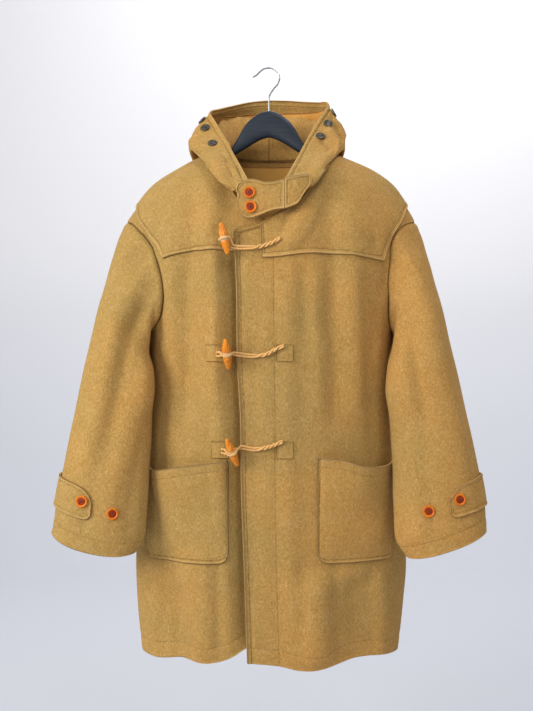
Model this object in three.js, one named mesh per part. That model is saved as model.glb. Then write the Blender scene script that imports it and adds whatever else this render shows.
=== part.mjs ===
// A hooded duffle coat of brushed wool, hanging on a wooden hanger.
// Millimetres, +Z up. The coat's front faces -Y, so the wearer's right side is at -X.
// The origin is the inside top of the hanger's hook, from which everything hangs.
import * as THREE from 'three';

// Cloth and how its pieces lie
const CLOTH = 3;
const LINING = 1;
const SEAM = 0.45;
const LAY = 0.8;
const LAYER = CLOTH + LAY;

// Grid of the panels: steps of the side seam, armhole and shoulder yoke, and columns
const SEAM_ROWS = 8;
const ARM_ROWS = 5;
const YOKE_ROWS = 5;
const NECK_COLUMNS = 7;
const SHOULDER_COLUMNS = 4;
const BACK_NECK_COLUMNS = 4;

// Levels of the body
const HEM = -1095;
const UNDERARM = -505;
const YOKE = -372;
const SHOULDER_POINT = -288;
const NECK_POINT = -150;

// Colours
const WOOL = { color: 0xb08d50, roughness: 0.95, metalness: 0 };
const GOLD = { color: 0xc08a3a, roughness: 0.7, metalness: 0 };
const HORN = { color: 0xd07a22, roughness: 0.4, metalness: 0 };
const CORD = { color: 0xcc9a5c, roughness: 0.9, metalness: 0 };
const GUNMETAL = { color: 0x4c463c, roughness: 0.4, metalness: 0.8 };
const NAVY_WOOD = { color: 0x262c38, roughness: 0.5, metalness: 0 };
const STEEL = { color: 0xb8bcc4, roughness: 0.25, metalness: 1 };

const group = new THREE.Group();

function add(name, geometry, finish) {
  const mesh = new THREE.Mesh(geometry, new THREE.MeshStandardMaterial(finish));
  mesh.name = name;
  group.add(mesh);
  return mesh;
}

const vec = (x, y, z) => new THREE.Vector3(x, y, z);
const mix = (a, b, t) => a + (b - a) * t;
const clamp01 = (t) => Math.min(1, Math.max(0, t));
const ease = (t) => clamp01(t) ** 2 * (3 - 2 * clamp01(t));
const steps = (n) => Array.from({ length: n + 1 }, (_, i) => i / n);

// Smooth curve through values at rising keys, read at one place.
function smooth(keys, values, at) {
  let k = 0;
  while (k < keys.length - 2 && at > keys[k + 1]) k++;
  const slope = (j) => (values[j + 1] - values[j]) / (keys[j + 1] - keys[j]);
  const tangent = (j) => {
    if (j === 0) return slope(0);
    if (j === keys.length - 1) return slope(j - 1);
    const before = keys[j] - keys[j - 1];
    const after = keys[j + 1] - keys[j];
    return (slope(j - 1) * after + slope(j) * before) / (before + after);
  };
  const h = keys[k + 1] - keys[k];
  const t = clamp01((at - keys[k]) / h);
  const t2 = t * t;
  const t3 = t2 * t;
  return (2 * t3 - 3 * t2 + 1) * values[k] + (t3 - 2 * t2 + t) * h * tangent(k)
    + (3 * t2 - 2 * t3) * values[k + 1] + (t3 - t2) * h * tangent(k + 1);
}

// A table of named columns, read smoothly at any value of its first column.
function table(columns, rows) {
  const names = columns.split(' ');
  const sorted = [...rows].sort((a, b) => a[0] - b[0]);
  const keys = sorted.map((row) => row[0]);
  const byName = names.map((_, column) => sorted.map((row) => row[column]));
  return (at) => Object.fromEntries(names.map((name, column) => [name, smooth(keys, byName[column], at)]));
}

// Smooth curve through points, read at a fraction of its length.
function through(points) {
  const keys = [0];
  points.slice(1).forEach((p, i) => keys.push(keys[i] + p.distanceTo(points[i])));
  return (fraction) => vec(...['x', 'y', 'z'].map(
    (axis) => smooth(keys, points.map((p) => p[axis]), fraction * keys.at(-1)),
  ));
}

// Half widths and depths of the body at each level
const BODY = table('z left right front back', [
  [-150, 85, 85, 26, 50],
  [-160, 106, 112, 38, 58],
  [-172, 131, 139, 50, 64],
  [-196, 174, 193, 68, 73],
  [-221, 213, 229, 84, 80],
  [-250, 240, 252, 97, 86],
  [-270, 254, 265, 104, 90],
  [-288, 267, 275, 109, 93],
  [-350, 261, 268, 116, 98],
  [-420, 243, 248, 120, 100],
  [-505, 229, 232, 120, 99],
  [-600, 229, 231, 118, 97],
  [-700, 235, 236, 116, 96],
  [-830, 246, 248, 113, 97],
  [-931, 252, 260, 111, 100],
  [-1010, 249, 254, 109, 102],
  [-1110, 239, 243, 107, 104],
]);

// Soft ridges (+) and troughs (-) of the front (-1) and back (+1), each along a line from 1 to 2
const FOLDS = [
  // face, x1, z1, x2, z2, width, height
  [-1, -200, -240, -196, -350, 20, -5],
  [-1, -176, -225, -168, -560, 26, 5],
  [-1, -142, -225, -146, -640, 22, -6],
  [-1, -106, -240, -102, -640, 24, 6],
  [-1, -188, -560, -206, -1080, 30, -6],
  [-1, -118, -900, -120, -1100, 34, 12],
  [-1, -170, -960, -165, -1100, 30, -12],
  [-1, 70, -275, 34, -352, 18, 6],
  [-1, 112, -246, 106, -500, 26, -7],
  [-1, 152, -260, 160, -620, 28, 5],
  [-1, 86, -945, 84, -1100, 38, 16],
  [-1, 158, -950, 158, -1100, 34, -10],
  [-1, 205, -940, 205, -1100, 26, 5],
  [1, -120, -300, -150, -1080, 42, -7],
  [1, -40, -420, -55, -1100, 40, 8],
  [1, 45, -380, 60, -1100, 44, -8],
  [1, 135, -320, 150, -1100, 40, 8],
];

function foldHeight(x, z, face) {
  let height = 0;
  for (const [side, x1, z1, x2, z2, width, rise] of FOLDS) {
    if (side !== face) continue;
    const along = (z - z1) / (z2 - z1);
    const across = (x - mix(x1, x2, clamp01(along))) / width;
    const ends = ease((along + 0.15) / 0.3) * ease((1.15 - along) / 0.3);
    height += rise * Math.exp(-across * across) * ends;
  }
  return height;
}

// A point of the body's outside. The angle is 0 at the centre front, a quarter turn at the side
// seams and half a turn at the centre back, negative on the wearer's right.
function body(angle, z) {
  const { left, right, front, back } = BODY(z);
  const width = angle < 0 ? left : right;
  const facing = Math.cos(angle);
  const depth = facing > 0 ? front : back;
  const x = width * Math.sin(angle);
  const out = vec(Math.sin(angle) / width, -facing / depth, 0).normalize();
  const fade = ease(Math.abs(facing) * 2.2);
  return vec(x, -depth * facing, z).addScaledVector(out, foldHeight(x, z, facing > 0 ? -1 : 1) * fade);
}

function bodyNormal(angle, z) {
  const around = body(angle + 0.02, z).sub(body(angle - 0.02, z));
  const up = body(angle, z + 1.5).sub(body(angle, z - 1.5));
  return around.cross(up).normalize();
}

// The angle at which the front passes a given x.
function angleAt(x, z) {
  const { left, right } = BODY(z);
  return Math.asin(Math.max(-1, Math.min(1, x / (x < 0 ? left : right))));
}

const degrees = Math.PI / 180;

// Armhole from the underarm up to the shoulder point: angles from the centre front, or back
const ARMHOLE = table('u front_right front_left back z', [
  [0, 90, 90, 90, UNDERARM],
  [0.165, 66, 74, 68, -492],
  [0.245, 58, 69, 61, -475],
  [0.36, 52, 63.5, 56, -440],
  [0.455, 51, 60.5, 55, -411],
  [0.58, 52, 57.5, 55.5, YOKE],
  [0.67, 55, 56, 58, -345],
  [0.77, 60, 57.5, 62, -318],
  [0.85, 67, 64, 69, -302],
  [1, 90, 90, 90, SHOULDER_POINT],
]);
const YOKE_U = 0.58;

// The armhole's place on one side (-1 wearer's right, +1 wearer's left) and face ('front' or 'back').
function armhole(side, face, u) {
  const row = ARMHOLE(u);
  if (face === 'back') return [side * (180 - row.back) * degrees, row.z];
  return [side * (side < 0 ? row.front_right : row.front_left) * degrees, row.z];
}

// Neckline of each front from its front edge to the neck point, as seen from the front
const NECKLINE_RIGHT = table('u x z', [
  [0, 20, -318], [1, -5, -307], [2, -25, -293], [3, -42, -272],
  [4, -58, -249], [5, -71, -221], [6, -81, -187], [7, -85, NECK_POINT],
]);
const NECKLINE_LEFT = table('u x z', [
  [0, -61, -321], [1, -16, -309], [2, 14, -298], [3, 38, -281],
  [4, 58, -256], [5, 72, -225], [6, 82, -189], [7, 85, NECK_POINT],
]);
const NECKLINE_BACK = table('u angle z', [
  [0, 180, -163], [1, 158, -162], [2, 135, -159.5], [3, 112, -155.5], [4, 90, NECK_POINT],
]);

// Front edges, hems and yoke seams
const LAPPED_EDGE = table('z x', [
  [-321, -61], [-428, -57], [-564, -55], [-657, -50], [-763, -49], [-939, -43], [-1100, -38],
]);
const UNDER_EDGE_X = 20;
const YOKE_EDGE_X = -14;
const HEM_RIGHT = table('x z', [
  [-240, -1096], [-211, -1098], [-154, -1091], [-117, -1094], [-90, -1090], [-64, -1081],
  [-40, -1068], [20, -1066],
]);
const HEM_LEFT = table('x z', [
  [-40, -1092], [-6, -1094], [26, -1098], [50, -1104], [86, -1106], [115, -1100], [147, -1092],
  [176, -1090], [243, -1095],
]);
const HEM_BACK = table('x z', [[-240, HEM], [-120, -1102], [-20, -1096], [80, -1104], [243, HEM]]);
const YOKE_SEAM_RIGHT = table('x z', [
  [-201, YOKE], [-162, -360], [-138, -356], [-82, -355], [20, -357],
]);
const YOKE_SEAM_LEFT = table('x z', [
  [-60, -368], [-13, -369], [19, -367], [58, -361], [111, -361], [217, YOKE],
]);
const YOKE_SEAM_BACK = table('x z', [[-210, YOKE], [0, -366], [215, YOKE]]);

// A line across the body between two places, its height read from a table of x. Where a knee is
// given, the first column ends at that x.
function across(from, to, heights, knee) {
  const share = 1 / (NECK_COLUMNS + SHOULDER_COLUMNS);
  const kneeAngle = knee === undefined ? mix(from[0], to[0], share) : angleAt(knee, from[1]);
  return (s) => {
    if (s === 0) return from;
    if (s === 1) return to;
    const angle = s < share
      ? mix(from[0], kneeAngle, s / share)
      : mix(kneeAngle, to[0], (s - share) / (1 - share));
    const x = body(angle, mix(from[1], to[1], s)).x;
    return [angle, heights(x).z];
  };
}

// A net of [angle, height] places between four edges. The rows are evenly spaced inside, and bend
// to the places on the start and end edges only near them.
const EDGE_PULL = 3;
function net(bottom, top, start, end, columns, rows) {
  return steps(rows).map((t) => steps(columns).map((s) => [0, 1].map((k) => {
    const straight = (share) => mix(bottom(share)[k], top(share)[k], t);
    const atStart = (start(t)[k] - straight(0)) * (1 - s) ** EDGE_PULL;
    const atEnd = (end(t)[k] - straight(1)) * s ** EDGE_PULL;
    return straight(s) + atStart + atEnd;
  })));
}

// A side seam and the armhole above it up to the yoke, as rows of equal weight.
function sideLine(side, face, hem) {
  const seamShare = SEAM_ROWS / (SEAM_ROWS + ARM_ROWS);
  const angle = side * 90 * degrees;
  return (t) => {
    if (t < seamShare) return [angle, mix(hem, UNDERARM, t / seamShare)];
    return armhole(side, face, YOKE_U * (t - seamShare) / (1 - seamShare));
  };
}

// The rows of one front: lower net from hem to yoke seam, upper net from there to neck and shoulder.
function frontPlaces(side, edgeX, neckline, hemLine, yokeSeam, knee) {
  const edge = (z) => [angleAt(edgeX(z), z), z];
  const neckFront = neckline(0);
  const hemZ = hemLine(edgeX(HEM)).z;
  const yokeZ = yokeSeam(edgeX(YOKE)).z;
  const outer = sideLine(side, 'front', HEM);
  const hem = across(edge(hemZ), outer(0), hemLine, knee);
  const seam = across(edge(yokeZ), armhole(side, 'front', YOKE_U), yokeSeam, knee);
  const columns = NECK_COLUMNS + SHOULDER_COLUMNS;
  const top = (s) => {
    const u = s * columns;
    if (u <= NECK_COLUMNS) {
      const { x, z } = neckline(u);
      return [u === NECK_COLUMNS ? side * 90 * degrees : angleAt(x, z), z];
    }
    return [side * 90 * degrees, mix(NECK_POINT, SHOULDER_POINT, (u - NECK_COLUMNS) / SHOULDER_COLUMNS)];
  };
  const lower = net(hem, seam, (t) => edge(mix(hemZ, yokeZ, t)), outer, columns, SEAM_ROWS + ARM_ROWS);
  const upper = net(
    seam, top, (t) => edge(mix(yokeZ, neckFront.z, t)),
    (t) => armhole(side, 'front', mix(YOKE_U, 1, t)), columns, YOKE_ROWS,
  );
  return [...lower, ...upper.slice(1)];
}

function backPlaces() {
  const columns = 2 * (BACK_NECK_COLUMNS + SHOULDER_COLUMNS);
  const left = sideLine(1, 'back', HEM);
  const right = sideLine(-1, 'back', HEM);
  // Places run from the wearer's left round the back, so angles pass 180 degrees to reach the right.
  const wrap = ([angle, z]) => [angle < 0 ? angle + 2 * Math.PI : angle, z];
  const line = (from, to, heights) => (s) => {
    if (s === 0) return from;
    if (s === 1) return to;
    const angle = mix(from[0], to[0], s);
    return [angle, heights(body(angle > Math.PI ? angle - 2 * Math.PI : angle, from[1]).x).z];
  };
  const hem = line(left(0), wrap(right(0)), HEM_BACK);
  const seam = line(armhole(1, 'back', YOKE_U), wrap(armhole(-1, 'back', YOKE_U)), YOKE_SEAM_BACK);
  const top = (s) => {
    const u = s * columns;
    const fromCentre = Math.abs(u - columns / 2);
    const side = u < columns / 2 ? 1 : -1;
    const turn = (angle) => (side > 0 ? angle : 360 - angle) * degrees;
    if (fromCentre <= BACK_NECK_COLUMNS) {
      const { angle, z } = NECKLINE_BACK(fromCentre);
      return [turn(angle), z];
    }
    const out = (fromCentre - BACK_NECK_COLUMNS) / SHOULDER_COLUMNS;
    return [turn(90), mix(NECK_POINT, SHOULDER_POINT, out)];
  };
  const lower = net(hem, seam, left, (t) => wrap(right(t)), columns, SEAM_ROWS + ARM_ROWS);
  const upper = net(
    seam, top, (t) => armhole(1, 'back', mix(YOKE_U, 1, t)),
    (t) => wrap(armhole(-1, 'back', mix(YOKE_U, 1, t))), columns, YOKE_ROWS,
  );
  return [...lower, ...upper.slice(1)];
}

// Points and normals of a panel. The lapped front lies over the other, which is drawn in under it.
function panelAt(places, drawnIn = () => 0) {
  const unwrap = (angle) => (angle > Math.PI ? angle - 2 * Math.PI : angle);
  const normals = places.map((row) => row.map(([angle, z]) => bodyNormal(unwrap(angle), z)));
  const points = places.map((row, j) => row.map(([angle, z], i) => {
    const point = body(unwrap(angle), z);
    return point.addScaledVector(normals[j][i], -drawnIn(point.x, z));
  }));
  return { points, normals };
}

// Draws a panel's edges in by half a seam, so that its neighbours keep clear.
function trimmed({ points, normals }) {
  const last = points.length - 1;
  const end = points[0].length - 1;
  const moved = points.map((row) => row.map((p) => p.clone()));
  const pull = (target, from, to) => target.add(to.clone().sub(from).setLength(SEAM / 2));
  for (let i = 0; i <= end; i++) {
    pull(moved[0][i], points[0][i], points[1][i]);
    pull(moved[last][i], points[last][i], points[last - 1][i]);
  }
  for (let j = 0; j <= last; j++) {
    pull(moved[j][0], points[j][0], points[j][1]);
    pull(moved[j][end], points[j][end], points[j][end - 1]);
  }
  return { points: moved, normals };
}

// A closed solid from vertices and triangles, turned so that its faces point out.
function solid(vertices, triangles) {
  const volume = triangles.reduce((sum, [a, b, c]) => (
    sum + vertices[a].dot(vertices[b].clone().cross(vertices[c]))
  ), 0);
  const index = triangles.flatMap(([a, b, c]) => (volume > 0 ? [a, b, c] : [a, c, b]));
  const geometry = new THREE.BufferGeometry().setFromPoints(vertices);
  geometry.setIndex(index);
  geometry.computeVertexNormals();
  return geometry;
}

// A cell's diagonal is swapped when it is this much longer than the other
const LONGER = 1.5;
const quad = (a, b, c, d, swapped = false) => (
  swapped ? [[b, c, d], [b, d, a]] : [[a, b, c], [a, c, d]]
);

// A wall of cloth between two grids of points, round a tube where it is closed. Each cell is cut
// along its shorter diagonal where they differ much.
function wallBetween(outer, inner, closed = false) {
  const rows = outer.length;
  const columns = outer[0].length;
  const at = (layer, j, i) => layer * rows * columns + j * columns + (i % columns);
  const triangles = [];
  const around = closed ? columns : columns - 1;
  for (let j = 0; j < rows - 1; j++) {
    for (let i = 0; i < around; i++) {
      const next = (i + 1) % columns;
      const rising = outer[j][i].distanceTo(outer[j + 1][next]);
      const falling = outer[j][next].distanceTo(outer[j + 1][i]);
      const swapped = rising > falling * LONGER;
      triangles.push(...quad(at(0, j, i), at(0, j, i + 1), at(0, j + 1, i + 1), at(0, j + 1, i), swapped));
      triangles.push(...quad(at(1, j, i), at(1, j + 1, i), at(1, j + 1, i + 1), at(1, j, i + 1), swapped));
    }
    if (!closed) {
      triangles.push(...quad(at(0, j, 0), at(0, j + 1, 0), at(1, j + 1, 0), at(1, j, 0)));
      const end = columns - 1;
      triangles.push(...quad(at(0, j, end), at(1, j, end), at(1, j + 1, end), at(0, j + 1, end)));
    }
  }
  for (let i = 0; i < around; i++) {
    const top = rows - 1;
    triangles.push(...quad(at(0, 0, i), at(1, 0, i), at(1, 0, i + 1), at(0, 0, i + 1)));
    triangles.push(...quad(at(0, top, i), at(0, top, i + 1), at(1, top, i + 1), at(1, top, i)));
  }
  return solid([...outer.flat(), ...inner.flat()], triangles);
}

const shifted = ({ points, normals }, distance) => points.map(
  (row, j) => row.map((p, i) => p.clone().addScaledVector(normals[j][i], distance)),
);

// A wall whose outside lies a distance off a panel's points.
const wallOn = (panel, offset, thickness) => (
  wallBetween(shifted(panel, offset), shifted(panel, offset - thickness))
);

// The rows and columns of a panel from one to another, both included.
const portion = ({ points, normals }, row1, row2, column1, column2) => ({
  points: points.slice(row1, row2 + 1).map((row) => row.slice(column1, column2 + 1)),
  normals: normals.slice(row1, row2 + 1).map((row) => row.slice(column1, column2 + 1)),
});

// How far the under front is drawn in where the lapped front, and higher up its yoke too, covers it.
const LAP_SLOPE = 40;
const LAP_MARGIN = 5;
function underLap(x, z) {
  const near = ease((x - LAPPED_EDGE(z).x + LAP_MARGIN + LAP_SLOPE) / LAP_SLOPE);
  const layers = 1 + ease((z + 410) / 34);
  return near * layers * (LAYER + 0.4);
}

const frontRight = panelAt(
  frontPlaces(-1, () => UNDER_EDGE_X, NECKLINE_RIGHT, HEM_RIGHT, YOKE_SEAM_RIGHT), underLap,
);
const frontLeft = panelAt(
  frontPlaces(1, (z) => LAPPED_EDGE(z).x, NECKLINE_LEFT, HEM_LEFT, YOKE_SEAM_LEFT, YOKE_EDGE_X),
);
const back = panelAt(backPlaces());

function addPanels() {
  add('front_right', wallOn(trimmed(frontRight), 0, CLOTH), WOOL);
  add('front_left', wallOn(trimmed(frontLeft), 0, CLOTH), WOOL);
  add('back', wallOn(trimmed(back), 0, CLOTH), WOOL);
}

const YOKE_ROW = SEAM_ROWS + ARM_ROWS;
const TOP_ROW = YOKE_ROW + YOKE_ROWS;
const LAST_FRONT = NECK_COLUMNS + SHOULDER_COLUMNS;
const LAST_BACK = 2 * (BACK_NECK_COLUMNS + SHOULDER_COLUMNS);

// Draws the top row of a portion down along its panel, by a share of a row in each column.
function loweredTop({ points, normals }, share) {
  const top = points.length - 1;
  const lower = (rows) => rows.map((row, j) => (
    j < top ? row : row.map((p, i) => p.clone().lerp(rows[top - 1][i], share(i)))
  ));
  return { points: lower(points), normals: lower(normals) };
}

// The yoke is a second layer over the shoulders, stopping short of the armholes and the neck seam.
const YOKE_SHORT = { front: 0.36, back: 0.12 };
const YOKE_LIFT = { front: 0.65, back: 0.2 };
function addYokes() {
  const yoke = (name, face, panel, first, last, onNeck) => {
    const short = (i) => (onNeck(i) ? YOKE_SHORT[face] : 0);
    const layer = loweredTop(portion(panel, YOKE_ROW, TOP_ROW, first, last), short);
    add(name, wallOn(trimmed(layer), LAYER + YOKE_LIFT[face], CLOTH), WOOL);
  };
  yoke('yoke_front_right', 'front', frontRight, 0, LAST_FRONT - 1, (i) => i < NECK_COLUMNS);
  yoke('yoke_front_left', 'front', frontLeft, 1, LAST_FRONT - 1, (i) => i < NECK_COLUMNS - 1);
  const underNeck = (i) => Math.abs(i + 1 - LAST_BACK / 2) < BACK_NECK_COLUMNS;
  yoke('yoke_back', 'back', back, 1, LAST_BACK - 1, underNeck);
}

// The gold lining shows inside the back of the neck, from a narrow band below the neck seam down.
const NECK_BAND = 0.22;
const LINING_EASE = 1.2;
function addBackLining() {
  const shown = loweredTop(portion(back, YOKE_ROW, TOP_ROW, 3, LAST_BACK - 3), () => NECK_BAND);
  add('back_lining', wallOn(trimmed(shown), -LAYER - LINING_EASE, LINING), GOLD);
}

// Sleeves: the outer and inner edges seen from the front, the middle's depth, half the depth,
// and how much lower the front of each ring lies
const SLEEVE_RIGHT = table('v outer_x outer_z inner_x inner_z y depth drop', [
  [0, -270, -288, -230, -505, -8, 66, 0],
  [1, -285, -322, -238, -513, -14, 66, 0],
  [2, -294, -362, -237, -523, -25, 65, 0],
  [3, -304, -412, -230, -540, -39, 64, 0],
  [4, -316, -470, -218, -567, -56, 62, 0],
  [5, -333, -550, -214, -615, -65, 60, 0],
  [6, -349, -625, -214, -680, -70, 57, 0],
  [7, -362, -698, -216, -742, -80, 53, 2],
  [8, -375, -768, -219, -806, -90, 49, 4],
  [9, -385, -838, -222, -866, -98, 46, 9],
  [10, -387, -856, -236, -891, -102, 44, 14],
]);
const SLEEVE_LEFT = table('v outer_x outer_z inner_x inner_z y depth drop', [
  [0, 277, -288, 233, -505, -8, 66, 0],
  [1, 290, -322, 240, -513, -14, 66, 0],
  [2, 298, -362, 239, -523, -26, 65, 0],
  [3, 308, -412, 232, -540, -41, 64, 0],
  [4, 320, -470, 223, -567, -56, 62, 0],
  [5, 337, -550, 217, -615, -65, 60, 0],
  [6, 354, -625, 221, -680, -70, 57, 0],
  [7, 368, -698, 223, -742, -80, 53, 2],
  [8, 381, -768, 224, -806, -90, 49, 1],
  [9, 388, -838, 226, -868, -98, 46, 3],
  [10, 387, -855, 246, -903, -102, 44, 4],
]);
const SLEEVE_ROWS = 10;

// Soft folds of the sleeves, each along a line of turn from v1 to v2: 0 outside, 90 front, 180 inside
const SLEEVE_FOLDS = [
  // side, turn1, v1, turn2, v2, width, height
  [-1, 118, 1.5, 92, 7, 17, -8],
  [-1, 78, 2, 66, 8, 20, 4],
  [-1, 150, 3.5, 128, 7, 16, 4],
  [1, 112, 2, 96, 6.5, 18, -5],
  [1, 70, 2.5, 60, 8, 22, 4],
  [-1, 270, 2, 255, 8, 24, -6],
  [1, 268, 2.5, 258, 8, 24, -6],
];

// A point of a sleeve at a turn round it and a place v down it, before the armhole is blended in.
function sleeveAt(side, turn, v) {
  const row = (side < 0 ? SLEEVE_RIGHT : SLEEVE_LEFT)(v);
  const outer = vec(row.outer_x, row.y, row.outer_z);
  const inner = vec(row.inner_x, row.y, row.inner_z);
  const middle = outer.clone().add(inner).multiplyScalar(0.5);
  const across = outer.clone().sub(inner).multiplyScalar(0.5);
  const down = vec(-across.z, 0, across.x).setLength(-side);
  let swell = 0;
  for (const [foldSide, turn1, v1, turn2, v2, width, rise] of SLEEVE_FOLDS) {
    if (foldSide !== side) continue;
    const along = (v - v1) / (v2 - v1);
    const off = (turn - mix(turn1, turn2, clamp01(along))) / width;
    swell += rise * Math.exp(-off * off) * ease((along + 0.2) / 0.4) * ease((1.2 - along) / 0.4);
  }
  const angle = turn * degrees;
  const cos = Math.cos(angle);
  const sin = Math.sin(angle);
  return middle
    .addScaledVector(across, cos * (1 + swell / across.length()))
    .add(vec(0, -sin * (row.depth + swell), 0))
    .addScaledVector(down, row.drop * sin);
}

// Normals of a grid of points, from the neighbours of each.
function gridNormals(points, side, closed) {
  const rows = points.length;
  const columns = points[0].length;
  return points.map((row, j) => row.map((_, i) => {
    const next = closed ? (i + 1) % columns : Math.min(i + 1, columns - 1);
    const previous = closed ? (i + columns - 1) % columns : Math.max(i - 1, 0);
    const along = points[Math.min(j + 1, rows - 1)][i].clone().sub(points[Math.max(j - 1, 0)][i]);
    return row[next].clone().sub(row[previous]).cross(along).multiplyScalar(side).normalize();
  }));
}

// The armhole's loop from the shoulder point down the front, under the arm and up the back.
function armholeLoop(side) {
  const front = side < 0 ? frontRight : frontLeft;
  const frontColumn = LAST_FRONT;
  const backColumn = side < 0 ? LAST_BACK : 0;
  const pick = (panel, column, key) => panel[key].slice(SEAM_ROWS).map((row) => row[column]);
  const loop = (key) => {
    const down = pick(front, frontColumn, key).reverse();
    const up = pick(back, backColumn, key);
    return [...down, ...up.slice(1, -1)];
  };
  return { points: loop('points'), normals: loop('normals') };
}

function addSleeve(name, side) {
  const loop = armholeLoop(side);
  const count = loop.points.length;
  const half = ARM_ROWS + YOKE_ROWS;
  const turns = loop.points.map((_, i) => (
    i <= half ? 180 * i / half : 180 + 180 * (i - half) / (count - half)
  ));
  const offset = loop.points.map((p, i) => p.clone().sub(sleeveAt(side, turns[i], 0)));
  const rings = steps(SLEEVE_ROWS).map((share) => {
    const v = share * 10;
    const kept = 1 - ease(v / 4.2);
    return turns.map((turn, i) => sleeveAt(side, turn, v).addScaledVector(offset[i], kept));
  });
  const away = rings[0].map((p, i) => rings[1][i].clone().sub(p).setLength(SEAM / 2));
  rings[0].forEach((p, i) => p.add(away[i]));
  const normals = gridNormals(rings, side, true);
  normals[0] = loop.normals;
  add(name, wallBetween(rings, shifted({ points: rings, normals }, -CLOTH), true), WOOL);
}

// Cuff tabs wrap from the outside of the sleeve to a point in front, level with the cuff
const TAB_TURNS = [-46, -28, -10, 8, 26, 44, 60, 72, 82];
const TAB = table('turn low high', [
  [-46, 8.52, 7.82], [44, 8.54, 7.84], [60, 8.55, 7.85], [72, 8.56, 7.93], [82, 8.57, 8.13],
]);

// A patch of a sleeve's surface at given turns, between two places v for each.
function sleevePatch(side, turns, low, high, rows) {
  const grid = steps(rows).map((t) => turns.map((turn) => (
    sleeveAt(side, turn, mix(low(turn), high(turn), t))
  )));
  const normals = steps(rows).map((t) => turns.map((turn) => {
    const v = mix(low(turn), high(turn), t);
    const around = sleeveAt(side, turn + 2, v).sub(sleeveAt(side, turn - 2, v));
    const along = sleeveAt(side, turn, v + 0.05).sub(sleeveAt(side, turn, v - 0.05));
    return around.cross(along).multiplyScalar(side).normalize();
  }));
  return { points: grid, normals };
}

function addCuffTab(name, side) {
  const patch = sleevePatch(side, TAB_TURNS, (turn) => TAB(turn).low, (turn) => TAB(turn).high, 3);
  add(name, wallOn(patch, LAYER + 0.6, CLOTH), WOOL);
}

// A round piece turned about Z, set with its axis along a direction.
function turned(profile, sides, place, axis) {
  const geometry = new THREE.LatheGeometry(profile.map(([r, h]) => new THREE.Vector2(r, h)), sides);
  geometry.deleteAttribute('normal');
  geometry.deleteAttribute('uv');
  const turn = new THREE.Quaternion().setFromUnitVectors(vec(0, 1, 0), axis.clone().normalize());
  geometry.applyQuaternion(turn);
  geometry.translate(place.x, place.y, place.z);
  return geometry;
}

// Buttons: dished, with a raised rim
const BUTTON = { radius: 10.5, height: 4, rim: 2.2, dish: 1.3 };
function addButton(name, place, axis) {
  const { radius, height, rim, dish } = BUTTON;
  const profile = [
    [0, 0], [radius - 2, 0], [radius, height * 0.45], [radius - 0.6, height * 0.9],
    [radius - rim * 0.6, height], [radius - rim * 1.5, height - dish], [0, height - dish * 1.25],
  ];
  add(name, turned(profile, 14, place, axis), HORN);
}

function addCuffButtons(name, side) {
  const spots = [{ turn: 70, v: 8.18, offset: LAYER + 0.85 }, { turn: 109, v: 8.31, offset: 0.3 }];
  spots.forEach(({ turn, v, offset }, i) => {
    const patch = sleevePatch(side, [turn], () => v, () => v, 1);
    const axis = patch.normals[0][0];
    const place = patch.points[0][0].clone().addScaledVector(axis, offset);
    addButton(name + (i + 1), place, axis);
  });
}

// Patch pockets: the mouth's and the bottom's heights across from the inner to the outer edge
const POCKETS = [
  {
    name: 'pocket_right', side: -1, inner: -73, outer: 226,
    mouth: table('s z', [[0, -730], [0.35, -741], [0.65, -752], [0.85, -752], [1, -744]]),
  },
  {
    name: 'pocket_left', side: 1, inner: 86, outer: 225,
    mouth: table('s z', [[0, -727], [0.2, -729], [0.4, -741], [0.7, -744], [1, -734]]),
  },
];
const POCKET_BOTTOM = -914;
const POCKET_CORNER = 17;
const POCKET_COLUMNS = [0, 0.03, 0.11, 0.25, 0.42, 0.6, 0.78, 0.9, 0.97, 1];
const POCKET_ROWS = 7;
const POCKET_FULLNESS = 8;
const POCKET_GAPE = 15;

function addPocket({ name, side, inner, outer, mouth }) {
  const offsets = [];
  const places = steps(POCKET_ROWS).map((t) => POCKET_COLUMNS.map((s) => {
    const width = Math.abs(Math.abs(outer) - Math.abs(inner));
    const fromEdge = Math.min(s, 1 - s) * width;
    const round = Math.max(0, 1 - fromEdge / POCKET_CORNER);
    const low = POCKET_BOTTOM + POCKET_CORNER * (1 - Math.sqrt(1 - round * round));
    const z = mix(low, mouth(s).z, t);
    const start = angleAt(inner, z);
    const end = angleAt(side * outer, z);
    const fullness = Math.sin(Math.PI * s) ** 0.7;
    const filled = POCKET_FULLNESS * ease(t / 0.35);
    const gaping = POCKET_GAPE * ease((t - 0.35) / 0.65);
    offsets.push((filled + gaping) * fullness);
    return [mix(start, end, s), z];
  }));
  const panel = panelAt(places, side < 0 ? underLap : undefined);
  const raise = (extra) => panel.points.map((row, j) => row.map((p, i) => (
    p.clone().addScaledVector(panel.normals[j][i], offsets[j * POCKET_COLUMNS.length + i] + extra)
  )));
  add(name, wallBetween(raise(LAYER + 0.8), raise(LAY + 0.8)), WOOL);
}

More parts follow.
